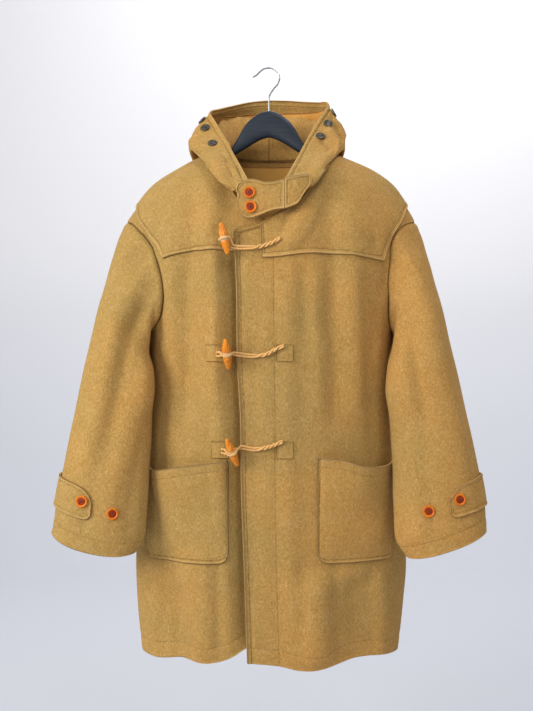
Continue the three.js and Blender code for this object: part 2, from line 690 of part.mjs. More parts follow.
// Hood, from the centre back (k = 0) past the neck point (4) to the throat (8), for the wearer's
// right side. From the neck seam the cloth runs over a fold, down inside the bag, round its
// bottom, up the roll and on to the rim. On the back it hangs down behind the coat.
const HOOD_INNER = table('k fold_x fold_y fold_z inside_x inside_y inside_z', [
  [0, 0, 76, -76, 0, 104, -180],
  [1, 38, 74, -75, 34, 103, -178],
  [2, 70, 64, -79, 68, 99, -172],
  [3, 94, 42, -92, 100, 88, -158],
  [4, 106, 4, -139, 128, 4, -148],
  [5, 90, -63, -178, 106, -65, -181],
  [6, 77, -97, -213, 87, -101, -215],
  [7, 63, -113, -241, 71, -117, -241],
  [8, 47, -118, -264, 52, -121, -260],
]);
const HOOD_OUTER = table('k bag_x bag_y bag_z roll_x roll_y roll_z rim_x rim_y rim_z', [
  [0, 0, 132, -286, 0, 152, -165, 0, 96, -32],
  [1, 38, 131, -281, 44, 149, -160, 31, 91, -36],
  [2, 78, 125, -262, 86, 138, -150, 63, 75, -46],
  [3, 116, 104, -222, 126, 104, -138, 95, 48, -61],
  [4, 150, 4, -157, 153, 10, -136, 113, 20, -75],
  [5, 124, -52, -180, 140, -32, -158, 98, -2, -106],
  [6, 98, -98, -214, 108, -78, -196, 79, -32, -143],
  [7, 81, -116, -240, 85, -106, -224, 60, -66, -183],
  [8, 57, -123, -253, 55, -122, -243, 38, -113, -231],
]);
// What the wearer's left side differs by
const HOOD_LEFT_SHIFT = table('k rim_x rim_z roll_x bag_x', [
  [0, 0, 0, 0, 0], [1, 0, 2, 0, 0], [2, 0, 6, 0, 0], [3, 0, 12, -2, -4], [4, 1, 16, -8, -8],
  [5, -6, 8, -8, -6], [6, -9, 2, -6, -4], [7, -12, -4, -6, -4], [8, -9, 2, -6, -4],
]);
const CENTRE_GAP = 0.2;
const HOOD_GAP = 1.9;
const HOOD_COLUMNS = BACK_NECK_COLUMNS + 4;
const HOOD_ROWS = 14;

function hoodPanel(side) {
  const front = side < 0 ? frontRight : frontLeft;
  const backMiddle = LAST_BACK / 2;
  const points = [];
  const firstNormals = [];
  for (let k = 0; k <= HOOD_COLUMNS; k++) {
    const onBack = k <= BACK_NECK_COLUMNS;
    const panel = onBack ? back : front;
    const column = onBack ? backMiddle - side * k : NECK_COLUMNS - (k - BACK_NECK_COLUMNS);
    const edge = panel.points[TOP_ROW][column];
    const beyond = edge.clone().sub(panel.points[TOP_ROW - 1][column]).normalize();
    if (k === BACK_NECK_COLUMNS) beyond.setY(0).normalize();
    const seam = edge.clone().addScaledVector(beyond, HOOD_GAP);
    const inner = HOOD_INNER(k);
    const outer = HOOD_OUTER(k);
    const shift = HOOD_LEFT_SHIFT(k);
    const own = side > 0 ? 1 : 0;
    const profile = through([
      seam,
      seam.clone().addScaledVector(beyond, 7).add(vec(0, 0, 4)),
      vec(side * inner.fold_x, inner.fold_y, inner.fold_z),
      vec(side * inner.inside_x, inner.inside_y, inner.inside_z),
      vec(side * (outer.bag_x + own * shift.bag_x), outer.bag_y, outer.bag_z),
      vec(side * (outer.roll_x + own * shift.roll_x), outer.roll_y, outer.roll_z),
      vec(side * (outer.rim_x + own * shift.rim_x), outer.rim_y, outer.rim_z + own * shift.rim_z),
    ]);
    points.push(steps(HOOD_ROWS).map(profile));
    firstNormals.push(panel.normals[TOP_ROW][column]);
  }
  points[0].forEach((p) => p.setX(side * CENTRE_GAP));
  const normals = gridNormals(points, side, false);
  normals[0].forEach((n) => n.setX(0).normalize());
  normals.forEach((row, k) => row[0].copy(firstNormals[k]));
  return { points, normals };
}

const hoodRight = hoodPanel(-1);
const hoodLeft = hoodPanel(1);
const NECK_HEM_ROWS = 4;
const RIM_BAND_ROWS = 1;
const LINED_COLUMNS = 3;
const HOOD_LINING_EASE = 0.7;

// The lining shows inside the hood, between the fold and the band along the rim.
function addHoodHalf(side, panel) {
  add('hood_' + side, wallOn(panel, 0, CLOTH), WOOL);
  const lined = trimmed(portion(panel, 0, LINED_COLUMNS, NECK_HEM_ROWS, HOOD_ROWS - RIM_BAND_ROWS));
  add('hood_lining_' + side, wallOn(lined, -CLOTH - HOOD_LINING_EASE, LINING), GOLD);
}

// A piece seen from the front between two edges, bent to a depth read from a table of x.
function facing(columns, low, high, depth, rows) {
  const spots = (offset) => steps(rows).map((t) => columns.map((x) => (
    vec(x, depth(x).y + offset, mix(low(x).z, high(x).z, t))
  )));
  return wallBetween(spots(0), spots(CLOTH));
}

// Throat tab, buttoned across the neck, and the piece that it is sewn to
const THROAT_DEPTH = table('x y', [[-56, -126], [-20, -130], [20, -132], [50, -131], [75, -123]]);
const TAB_LOW = table('x z', [
  [-56, -270], [-54, -283], [-50, -293], [-43, -300], [-33, -301], [-19, -297], [5, -288], [24, -285],
]);
const TAB_HIGH = table('x z', [
  [-56, -256], [-54, -247], [-50, -241], [-43, -236], [-33, -234], [-4, -240], [12, -238], [30, -233],
]);
const ANCHOR_LOW = table('x z', [[27, -285], [38, -281], [51, -274], [62, -257], [74, -241]]);
const ANCHOR_HIGH = table('x z', [[27, -232], [38, -230], [51, -227], [62, -225], [74, -224]]);

const TAB_STATIONS = [-56, -54, -50, -43, -33, -19, -4, 10, 26.4];
const ANCHOR_STATIONS = [27, 38, 51, 62, 74];
function addThroat() {
  add('throat_tab', facing(TAB_STATIONS, TAB_LOW, TAB_HIGH, THROAT_DEPTH, 3), WOOL);
  add('throat_anchor', facing(ANCHOR_STATIONS, ANCHOR_LOW, ANCHOR_HIGH, THROAT_DEPTH, 3), WOOL);
  [[-35, -257], [-32.5, -282.5]].forEach(([x, z], i) => {
    addButton('throat_button_' + (i + 1), vec(x, THROAT_DEPTH(x).y - 1.2, z), vec(0, -1, 0));
  });
}

// Toggles: horn pegs pointed at both ends, with a waist for the cord
const TOGGLE = { length: 58, radius: 7.4, waist: 6.4 };
const CORD_RADIUS = 1.8;
const CORD_SPREAD = 2.4;
const PATCH = { width: 28, height: 29, thickness: 2 };

// Each fastening: the toggle's middle and lean, its cord's route to the front and its patches
const FASTENINGS = [
  {
    name: 'top', toggle: [-79, -338], lean: 13, tilt: 0, bend: [-0.65, 0.65],
    route: [[-67, -340], [-60, -352], [-40, -353], [-15, -351], [4, -345], [20, -336]],
    patches: [],
  },
  {
    name: 'middle', toggle: [-74, -541], lean: 6, tilt: 28, bend: [-1, 0],
    route: [[-65, -536], [-57, -541], [-25, -544], [-5, -541], [12, -532], [26, -526]],
    patches: [['right', -95], ['left', 27]],
  },
  {
    name: 'bottom', toggle: [-65, -713], lean: 20, tilt: 28, bend: [-1, 0],
    route: [[-56, -711], [-46, -706], [-26, -709], [-6, -706], [10, -701], [24, -695]],
    patches: [['right', -88], ['left', 27]],
  },
];

// The depth of the front at a place, on the given panel.
function frontDepth(x, z, drawnIn = 0) {
  const angle = angleAt(x, z);
  return body(angle, z).addScaledVector(bodyNormal(angle, z), -drawnIn).y;
}

// A round cord along a smooth route, as an extrusion with flat ends.
function cordAlong(route, radius, count) {
  const curve = new THREE.CatmullRomCurve3(route, false, 'centripetal');
  const section = new THREE.Shape();
  section.absarc(0, 0, radius, 0, 2 * Math.PI);
  const settings = { steps: count, curveSegments: 3, extrudePath: curve };
  const geometry = new THREE.ExtrudeGeometry(section, settings);
  geometry.deleteAttribute('normal');
  geometry.deleteAttribute('uv');
  return geometry;
}

function addFastening({ name, toggle, lean, tilt, bend, route, patches }) {
  const [x, z] = toggle;
  const { length, radius, waist } = TOGGLE;
  const yokeLayer = name === 'top' ? LAYER : 0;
  const y = frontDepth(x, z) - yokeLayer - radius - 7 - (tilt ? 9 : 0);
  const leaning = [Math.sin(lean * degrees), Math.sin(tilt * degrees), -Math.cos(lean * degrees)];
  const axis = vec(...leaning).normalize();
  const profile = [
    [0, -length / 2], [2.6, -length / 2 + 1.5], [5, -length * 0.34], [radius, -length * 0.12],
    [waist, -1.6], [waist, 1.6],
    [radius, length * 0.12], [5.4, length * 0.34], [3.2, length / 2 - 1.5], [0, length / 2],
  ];
  add('toggle_' + name, turned(profile, 12, vec(x, y, z), axis), HORN);

  // The front loop: two strands from the patch, or from the yoke, parting round the toggle's waist
  const seat = name === 'top' ? LAYER + YOKE_LIFT.front + 0.3 : PATCH.thickness + 1;
  const lift = seat + CORD_RADIUS + 0.4;
  const strand = (shift) => route.slice(1).map(([px, pz]) => (
    vec(px, frontDepth(px, pz) - lift, pz + shift)
  ));
  const waistRing = waist + CORD_RADIUS + 0.75;
  const side = vec(Math.cos(lean * degrees), 0, Math.sin(lean * degrees));
  const forward = side.clone().cross(axis).normalize();
  const around = [60, 0, -60, -120, -180, -240, -300].map((turn) => (
    vec(x, y, z)
      .addScaledVector(side, waistRing * Math.cos(turn * degrees))
      .addScaledVector(forward, waistRing * Math.sin(turn * degrees))
  ));
  const path = [...strand(CORD_SPREAD).reverse(), ...around.slice(1, 6), ...strand(-CORD_SPREAD)];
  add('loop_' + name, cordAlong(path, CORD_RADIUS, 44), CORD);

  // The toggle's own short cord: a bend beside its waist whose ends are sewn down on the right front
  const beside = vec(...bend, 0).multiplyScalar(waistRing + 2 * CORD_RADIUS + 0.4).add(vec(x, y, z));
  const sewn = beside.x - 11;
  const surface = frontDepth(sewn, z, underLap(sewn, z)) - lift;
  const leg = (shift) => [
    vec(sewn - 5, surface + 0.3, z + shift), vec(sewn, surface, z + shift),
    vec(sewn + 4, mix(surface, beside.y, 0.5), z + shift),
    vec(beside.x - 1, beside.y + 1, z + shift * 0.8),
  ];
  const bendRoute = [...leg(CORD_SPREAD + 1), beside, ...leg(-CORD_SPREAD - 1).reverse()];
  add('toggle_cord_' + name, cordAlong(bendRoute, CORD_RADIUS, 18), CORD);

  patches.forEach(([sideName, centre]) => {
    const drawn = sideName === 'right' ? underLap : undefined;
    const columns = [-0.5, -0.17, 0.17, 0.5].map((f) => centre + f * PATCH.width);
    const places = steps(2).map((t) => columns.map((px) => {
      const pz = z + 2 + (t - 0.5) * PATCH.height;
      return [angleAt(px, pz), pz];
    }));
    const square = wallOn(panelAt(places, drawn), PATCH.thickness + 1, PATCH.thickness);
    add('patch_' + name + '_' + sideName, square, WOOL);
  });
}

// Snaps on the hood's sides, each at a column and row of its half, lifted to rest on its bent cloth
const SNAP = { radius: 9.2, height: 2.6 };
const SNAPS = [
  { name: 'snap_right_1', panel: hoodRight, column: 5.45, row: 11.6, lift: 0.6 },
  { name: 'snap_right_2', panel: hoodRight, column: 4.55, row: 12.2, lift: 2.6 },
  { name: 'snap_right_3', panel: hoodRight, column: 3.9, row: 12.4, lift: 2.6 },
  { name: 'snap_left_1', panel: hoodLeft, column: 5.4, row: 12.1, lift: 0.6 },
  { name: 'snap_left_2', panel: hoodLeft, column: 4.6, row: 12.3, lift: 2.6 },
  { name: 'snap_left_3', panel: hoodLeft, column: 3.9, row: 12.5, lift: 2.6 },
];

function addSnaps() {
  const { radius, height } = SNAP;
  const profile = [
    [0, 0], [radius - 1, 0], [radius, height * 0.4], [radius - 1.6, height], [radius - 3.4, height * 0.6],
    [0, height * 0.5],
  ];
  for (const { name, panel, column, row, lift } of SNAPS) {
    const blend = (key) => {
      const i = Math.floor(column);
      const j = Math.floor(row);
      const at = (a, b) => panel[key][a][b];
      const low = at(i, j).clone().lerp(at(i + 1, j), column - i);
      const high = at(i, j + 1).clone().lerp(at(i + 1, j + 1), column - i);
      return low.lerp(high, row - j);
    };
    const axis = blend('normals').normalize();
    add(name, turned(profile, 12, blend('points').addScaledVector(axis, lift), axis), GUNMETAL);
  }
}

// Hanger: a shaped wooden bar, tall in the middle, whose arms lie just under the shoulders
const HANGER_THICKNESS = 15;
const HANGER = table('x top bottom', [
  [0, -79, -129], [14, -82, -133], [28, -90, -140], [44, -105, -150], [60, -132, -160], [75, -157, -171],
  [95, -171, -187], [140, -188, -207], [180, -210, -231], [214, -234, -252],
]);
const HANGER_STATIONS = [0, 14, 28, 44, 60, 75, 95, 140, 180, 206, 214];

function addHanger() {
  const stations = [...HANGER_STATIONS.slice(1).reverse().map((x) => -x), ...HANGER_STATIONS];
  const sides = 10;
  const rings = stations.map((x) => {
    const { top, bottom } = HANGER(Math.abs(x));
    const tip = Math.abs(x) > 210 ? 0.55 : 1;
    const middle = (top + bottom) / 2;
    const half = (top - bottom) / 2 * tip;
    return steps(sides).slice(1).map((t) => {
      const turn = (t + 0.5 / sides) * 2 * Math.PI;
      const squared = (value) => Math.sign(value) * Math.abs(value) ** 0.55;
      const y = HANGER_THICKNESS / 2 * tip * squared(Math.cos(turn));
      return vec(x, y, middle + half * squared(Math.sin(turn)));
    });
  });
  const vertices = rings.flat();
  const triangles = [];
  for (let r = 0; r < rings.length - 1; r++) {
    for (let i = 0; i < sides; i++) {
      const next = (i + 1) % sides;
      triangles.push(...quad(r * sides + i, r * sides + next, (r + 1) * sides + next, (r + 1) * sides + i));
    }
  }
  for (let i = 1; i < sides - 1; i++) {
    const end = (rings.length - 1) * sides;
    triangles.push([0, i + 1, i]);
    triangles.push([end, end + i, end + i + 1]);
  }
  add('hanger_body', solid(vertices, triangles), NAVY_WOOD);
  const wire = 1.6;
  const route = [
    [0, -78.7], [0, -60], [1, -50], [8, -38], [17, -27], [20, -17], [17, -7], [10, 0], [0, 3],
    [-10, 1], [-18, -5], [-24, -11], [-31, -15],
  ].map(([x, z]) => vec(x, 0, z));
  add('hanger_hook', cordAlong(route, wire, 40), STEEL);
}

addPanels();
addYokes();
addBackLining();
addSleeve('sleeve_right', -1);
addSleeve('sleeve_left', 1);
addCuffTab('cuff_tab_right', -1);
addCuffTab('cuff_tab_left', 1);
addCuffButtons('cuff_button_right_', -1);
addCuffButtons('cuff_button_left_', 1);
POCKETS.forEach(addPocket);
addHoodHalf('right', hoodRight);
addHoodHalf('left', hoodLeft);
addThroat();
FASTENINGS.forEach(addFastening);
addSnaps();
addHanger();

export default group;
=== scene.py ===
# A hooded duffle coat of brushed wool on a dark wooden hanger. Sizes are in millimetres until a
# mesh is made, +Z is up and the coat's front faces -Y. The origin is the inside top of the hook.
import bpy
import math
import numpy as np
from mathutils import Matrix


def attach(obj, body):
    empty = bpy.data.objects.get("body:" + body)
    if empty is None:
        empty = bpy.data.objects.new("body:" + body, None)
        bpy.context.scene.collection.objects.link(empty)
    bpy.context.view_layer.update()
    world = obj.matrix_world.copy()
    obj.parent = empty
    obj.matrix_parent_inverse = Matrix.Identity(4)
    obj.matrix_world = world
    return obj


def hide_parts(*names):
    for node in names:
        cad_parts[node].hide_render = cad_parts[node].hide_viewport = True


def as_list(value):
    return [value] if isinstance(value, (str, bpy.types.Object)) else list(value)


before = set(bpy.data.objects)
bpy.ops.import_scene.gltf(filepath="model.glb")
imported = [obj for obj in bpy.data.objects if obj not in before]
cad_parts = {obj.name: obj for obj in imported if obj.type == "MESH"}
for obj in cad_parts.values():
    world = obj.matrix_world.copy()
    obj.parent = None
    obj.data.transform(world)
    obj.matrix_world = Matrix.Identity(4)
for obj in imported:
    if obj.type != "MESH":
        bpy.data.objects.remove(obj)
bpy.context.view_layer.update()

MM = 0.001
DEG = math.pi / 180
# Thickness of the wool, and how far the outer face of a layer laid on it is lifted
CLOTH, LAYER = 3.0, 3.8
FRONT_YOKE_LIFT, BACK_YOKE_LIFT = 0.65, 0.2
# Distances from an edge to its row of stitching, and one at which no painted stitch shade or edge highlight
# shows
HEM_ROW, CUFF_ROW, LAP_ROW, YOKE_ROW, POCKET_ROW, MOUTH_ROW, HOOD_ROW = 27, 25, 7.5, 6.5, 5.5, 15, 10
FAR = 60.0
# A plain cut edge starts this far along the painted highlight that a felled edge has
PLAIN_RIM = 1.7
SIDES = (("right", -1), ("left", 1))


def mix(a, b, t):
    return a + (b - a) * t


def ease(t):
    t = np.clip(t, 0, 1)
    return t * t * (3 - 2 * t)


def bell(distance, width=1.0):
    """1 on a line, fading out over a width on both sides."""
    return np.exp(-(distance / width) ** 2)


def smooth(keys, values, at):
    """Smooth curve through values (one row for each key), read at many places."""
    keys = np.asarray(keys, float)
    values = np.asarray(values, float)
    at = np.asarray(at, float)
    k = np.clip(np.searchsorted(keys, at, side="left") - 1, 0, len(keys) - 2)
    step = np.diff(keys)
    flat = values.reshape(len(keys), -1)
    slope = np.diff(flat, axis=0) / step[:, None]
    tangent = np.empty_like(flat)
    tangent[0], tangent[-1] = slope[0], slope[-1]
    before, after = step[:-1, None], step[1:, None]
    tangent[1:-1] = (slope[:-1] * after + slope[1:] * before) / (before + after)
    h = step[k][..., None]
    t = np.clip((at - keys[k])[..., None] / h, 0, 1)
    t2, t3 = t * t, t * t * t
    out = ((2 * t3 - 3 * t2 + 1) * flat[k] + (t3 - 2 * t2 + t) * h * tangent[k]
           + (3 * t2 - 2 * t3) * flat[k + 1] + (t3 - t2) * h * tangent[k + 1])
    return out.reshape(at.shape + values.shape[1:])


class Table:
    """Named columns, read smoothly at any value of the first."""

    def __init__(self, columns, rows):
        self.names = columns.split()
        self.rows = np.array(sorted(rows), float)

    def __call__(self, at):
        values = smooth(self.rows[:, 0], self.rows, at)
        return {name: values[..., i] for i, name in enumerate(self.names)}


def ridges(u, v, lines, side, reach, scale=1):
    """Height of ridges (+) and troughs (-), each along a line from u1, v1 to u2, v2 on one side
    (0 for both). Their ends fade over a reach, as a share of their length."""
    height = np.zeros(np.broadcast(u, v).shape)
    for own, u1, v1, u2, v2, width, rise in lines:
        along = (v - v1) / (v2 - v1)
        off = (u - mix(u1, u2, np.clip(along, 0, 1))) * scale / width
        ends = ease((along + reach) / (2 * reach)) * ease((1 + reach - along) / (2 * reach))
        height = height + np.where((own == side) | (own == 0), rise * bell(off) * ends, 0)
    return height


def vec(x, y, z):
    x, y, z = np.broadcast_arrays(x, y, z)
    return np.stack([x, y, z], -1).astype(float)


def unit(v):
    return v / np.maximum(np.linalg.norm(v, axis=-1, keepdims=True), 1e-9)


def raised(points, normals, height):
    return points + normals * height[..., None]


def sunk(points, normals, depth, width, distance):
    return raised(points, normals, -depth * bell(distance, width))


def run_of(path):
    """Distance along a path, from its start."""
    return np.concatenate([[0], np.cumsum(np.linalg.norm(np.diff(path, axis=0), axis=1))])


def resample(points, count):
    points = np.asarray(points, float)
    run = run_of(points)
    return smooth(run, points, np.linspace(0, run[-1], count))


# The body: half widths to the left and right and depths to the front and back, at heights
UNDERARM, YOKE, HEM = -505, -372, -1095
SHOULDER_POINT, NECK_POINT = -288, -150
BODY = Table("z left right front back", [
    [-150, 85, 85, 26, 50], [-160, 106, 112, 38, 58], [-172, 131, 139, 50, 64], [-196, 174, 193, 68, 73],
    [-221, 213, 229, 84, 80], [-250, 240, 252, 97, 86], [-270, 254, 265, 104, 90],
    [-288, 267, 275, 109, 93], [-350, 261, 268, 116, 98], [-420, 243, 248, 120, 100],
    [-505, 229, 232, 120, 99], [-600, 229, 231, 118, 97], [-700, 235, 236, 116, 96],
    [-830, 246, 248, 113, 97], [-931, 252, 260, 111, 100], [-1010, 249, 254, 109, 102],
    [-1110, 239, 243, 107, 104]])
# Folds of the front (-1) and back (1): side, x1, z1, x2, z2, width, height
FOLDS = [
    [-1, -200, -240, -196, -350, 20, -5], [-1, -176, -225, -168, -560, 26, 5],
    [-1, -142, -225, -146, -640, 22, -6], [-1, -106, -240, -102, -640, 24, 6],
    [-1, -188, -560, -206, -1080, 30, -6], [-1, -118, -900, -120, -1100, 34, 12],
    [-1, -170, -960, -165, -1100, 30, -12], [-1, 70, -275, 34, -352, 18, 6],
    [-1, 112, -246, 106, -500, 26, -7], [-1, 152, -260, 160, -620, 28, 5],
    [-1, 86, -945, 84, -1100, 38, 16], [-1, 158, -950, 158, -1100, 34, -10],
    [-1, 205, -940, 205, -1100, 26, 5], [1, -120, -300, -150, -1080, 42, -7],
    [1, -40, -420, -55, -1100, 40, 8], [1, 45, -380, 60, -1100, 44, -8], [1, 135, -320, 150, -1100, 40, 8]]
# Finer creases, placed from the cloth as it hangs
CREASES = [
    [-1, -128, -262, -134, -330, 9, -2.6], [-1, -96, -300, -120, -350, 8, 2.2],
    [-1, -160, -250, -170, -318, 8, 1.8], [-1, -226, -300, -206, -420, 9, -3.2],
    [-1, -214, -420, -190, -560, 9, 2.6], [-1, -200, -470, -176, -600, 8, -2.4],
    [-1, -120, -380, -128, -520, 12, 2.6], [-1, -100, -372, -96, -700, 12, 4],
    [-1, -156, -560, -160, -720, 13, -3.6], [-1, -150, -380, -152, -640, 15, -4.2],
    [-1, -182, -360, -176, -600, 14, 3.4], [-1, -186, -620, -176, -730, 12, 2.8],
    [-1, -100, -640, -108, -720, 9, -1.8], [-1, -150, -905, -141, -1040, 12, 3.2],
    [-1, -205, -900, -214, -1050, 12, 3], [-1, -92, -900, -86, -1080, 12, -4.2],
    [-1, -186, -1000, -180, -1100, 10, 3], [-1, 40, -268, 26, -330, 8, -2.8],
    [-1, 92, -262, 58, -338, 9, 2.4], [-1, 126, -262, 140, -330, 9, 2.2],
    [-1, 176, -262, 190, -350, 10, -2.6], [-1, 226, -310, 208, -430, 9, -3.2],
    [-1, 212, -420, 196, -560, 9, 2.4], [-1, 62, -372, 66, -520, 13, -3.2],
    [-1, 84, -400, 88, -640, 15, 3.2], [-1, 118, -372, 118, -660, 15, -4.8],
    [-1, 152, -380, 160, -640, 15, 4], [-1, 178, -520, 190, -720, 12, -3.4],
    [-1, 36, -380, 34, -1000, 15, 2.6], [-1, -28, -420, -26, -980, 13, -2.2],
    [-1, 40, -760, 46, -1040, 16, 2.4], [-1, 60, -920, 58, -1090, 12, -3.2],
    [-1, 118, -920, 122, -1095, 12, -4.2], [-1, 186, -930, 190, -1090, 12, -3.4],
    [1, -180, -330, -150, -520, 12, -5.8], [1, -90, -390, -96, -900, 14, 5.1],
    [1, 0, -380, 6, -760, 12, -4.4], [1, 96, -390, 104, -820, 14, 5.4],
    [1, 184, -330, 160, -520, 12, -5.8], [1, -200, -500, -196, -700, 12, 4.4],
    [1, 198, -500, 200, -760, 12, 4.4], [1, -20, -800, -26, -1095, 16, -7.5],
    [1, 90, -860, 98, -1095, 14, -6.5], [1, -110, -860, -104, -1095, 14, 7.1]]


def body(angle, z, creased=True):
    angle, z = np.broadcast_arrays(np.asarray(angle, float), np.asarray(z, float))
    angle = np.where(angle > math.pi, angle - 2 * math.pi, angle)
    row = BODY(z)
    width = np.where(angle < 0, row["left"], row["right"])
    facing = np.cos(angle)
    depth = np.where(facing > 0, row["front"], row["back"])
    x = width * np.sin(angle)
    out = unit(vec(np.sin(angle) / width, -facing / depth, 0 * z))
    fade = ease(np.abs(facing) * 2.2)
    face = np.where(facing > 0, -1, 1)
    rise = ridges(x, z, FOLDS, face, 0.15)
    if creased:
        rise = rise + ridges(x, z, CREASES, face, 0.15)
        rise = rise + 0.7 * np.sin(x / 17 + z / 61 + 1.3) * np.sin(z / 43 - x / 90)
    return vec(x, -depth * facing, z) + out * (rise * fade)[..., None]


def body_normal(angle, z):
    around = body(angle + 0.02, z, False) - body(angle - 0.02, z, False)
    up = body(angle, z + 1.5, False) - body(angle, z - 1.5, False)
    return unit(np.cross(around, up))


def angle_at(x, z):
    row = BODY(z)
    x = np.asarray(x, float)
    return np.arcsin(np.clip(x / np.where(x < 0, row["left"], row["right"]), -1, 1))


ARMHOLE = Table("u front_right front_left back z", [
    [0, 90, 90, 90, UNDERARM], [0.165, 66, 74, 68, -492], [0.245, 58, 69, 61, -475],
    [0.36, 52, 63.5, 56, -440], [0.455, 51, 60.5, 55, -411], [0.58, 52, 57.5, 55.5, YOKE],
    [0.67, 55, 56, 58, -345], [0.77, 60, 57.5, 62, -318], [0.85, 67, 64, 69, -302],
    [1, 90, 90, 90, SHOULDER_POINT]])
YOKE_U = 0.58


def armhole(side, face, u):
    row = ARMHOLE(u)
    if face == "back":
        return np.stack([side * (180 - row["back"]) * DEG, row["z"]], -1)
    return np.stack([side * row["front_right" if side < 0 else "front_left"] * DEG, row["z"]], -1)


NECKLINE = {
    -1: Table("u x z", [
        [0, 20, -310], [1, -5, -300], [2, -25, -286], [3, -42, -268], [4, -58, -249], [5, -71, -221],
        [6, -81, -187], [7, -85, NECK_POINT]]),
    1: Table("u x z", [
        [0, -61, -321], [1, -16, -308], [2, 9, -291], [3, 36, -275], [4, 58, -256], [5, 72, -225],
        [6, 82, -189], [7, 85, NECK_POINT]])}
NECKLINE_BACK = Table("u angle z", [
    [0, 180, -163], [1, 158, -162], [2, 135, -159.5], [3, 112, -155.5], [4, 90, NECK_POINT]])
LAPPED_EDGE = Table("z x", [
    [-321, -61], [-428, -57], [-564, -55], [-657, -50], [-763, -49], [-939, -43], [-1100, -38]])
UNDER_EDGE_X, YOKE_EDGE_X = 20, -14
HEM_LINE = {
    -1: Table("x z", [
        [-240, -1096], [-211, -1098], [-154, -1091], [-117, -1094], [-90, -1090], [-64, -1081],
        [-40, -1068], [20, -1066]]),
    1: Table("x z", [
        [-40, -1092], [-6, -1094], [26, -1098], [50, -1104], [86, -1106], [115, -1100], [147, -1092],
        [176, -1090], [243, -1095]]),
    0: Table("x z", [[-240, HEM], [-120, -1102], [-20, -1096], [80, -1104], [243, HEM]])}
YOKE_SEAM = {
    -1: Table("x z", [[-201, YOKE], [-162, -360], [-138, -356], [-82, -355], [20, -357]]),
    1: Table("x z", [[-60, -368], [-13, -369], [19, -367], [58, -361], [111, -361], [217, YOKE]]),
    0: Table("x z", [[-210, YOKE], [0, -366], [215, YOKE]])}
NECK_COLUMNS, SHOULDER_COLUMNS, BACK_NECK_COLUMNS = 7, 4, 4
SEAM_ROWS, ARM_ROWS, YOKE_ROWS = 8, 5, 5
FRONT_COLUMNS, BACK_COLUMNS = 11, 16


def column(values):
    return np.atleast_1d(np.asarray(values, float))


def level(line, start, end, s, near_start, near_end):
    """Height of a line across a panel, drawn to its two ends near them."""
    to_start = (start - line) * ease(1 - s / near_start)
    return line + to_start + (end - line) * ease((s - 1 + near_end) / near_end)


def across(start, end, heights, knee=None):
    share = 1 / FRONT_COLUMNS
    knee_angle = mix(start[0], end[0], share) if knee is None else float(angle_at(knee, start[1]))

    def line(s):
        s = column(s)
        angle = np.where(s < share, mix(start[0], knee_angle, s / share),
                         mix(knee_angle, end[0], (s - share) / (1 - share)))
        x = body(angle, mix(start[1], end[1], s), False)[:, 0]
        return np.stack([angle, level(heights(x)["z"], start[1], end[1], s, 0.04, 0.08)], -1)
    return line


def net(bottom, top, start, end, s, t):
    """A net of places between four lines. The side lines pull only the columns near them."""
    at_start = start(t) - mix(bottom(0.0), top(0.0), t[:, None])
    at_end = end(t) - mix(bottom(1.0), top(1.0), t[:, None])
    near_start, near_end = ((1 - s) ** 3)[None, :, None], (s ** 3)[None, :, None]
    return (mix(bottom(s)[None], top(s)[None], t[:, None, None])
            + at_start[:, None] * near_start + at_end[:, None] * near_end)


def side_line(side, face):
    share = SEAM_ROWS / (SEAM_ROWS + ARM_ROWS)

    def line(t):
        t = column(t)
        seam = np.stack([np.full_like(t, side * 90 * DEG), mix(HEM, UNDERARM, np.minimum(t / share, 1))], -1)
        arm = armhole(side, face, YOKE_U * np.clip((t - share) / (1 - share), 0, 1))
        return np.where((t < share)[:, None], seam, arm)
    return line


def yoke_side(side, face):
    return lambda r: armhole(side, face, mix(YOKE_U, 1, column(r)))


def front_net(side, edge_x, knee=None):
    neckline, hem_line, seam_line = NECKLINE[side], HEM_LINE[side], YOKE_SEAM[side]

    def edge(z):
        z = column(z)
        return np.stack([angle_at(edge_x(z), z), z], -1)
    neck_z = float(neckline(0)["z"])
    hem_z = float(hem_line(edge_x(HEM))["z"])
    yoke_z = float(seam_line(edge_x(YOKE))["z"])
    outer = side_line(side, "front")
    hem = across(edge(hem_z)[0], outer(0.0)[0], hem_line, knee)
    seam = across(edge(yoke_z)[0], armhole(side, "front", YOKE_U), seam_line, knee)

    def top(s):
        u = column(s) * FRONT_COLUMNS
        row = neckline(np.minimum(u, NECK_COLUMNS))
        neck = np.stack([angle_at(row["x"], row["z"]), row["z"]], -1)
        neck[:, 0] = np.where(u >= NECK_COLUMNS - 1e-9, side * 90 * DEG, neck[:, 0])
        out = np.clip((u - NECK_COLUMNS) / SHOULDER_COLUMNS, 0, 1)
        shoulder = np.stack([np.full_like(u, side * 90 * DEG), mix(NECK_POINT, SHOULDER_POINT, out)], -1)
        return np.where((u > NECK_COLUMNS)[:, None], shoulder, neck)

    def lower(s, t):
        return net(hem, seam, lambda r: edge(mix(hem_z, yoke_z, column(r))), outer, s, t)

    def upper(s, t):
        return net(seam, top, lambda r: edge(mix(yoke_z, neck_z, column(r))), yoke_side(side, "front"), s, t)
    return lower, upper


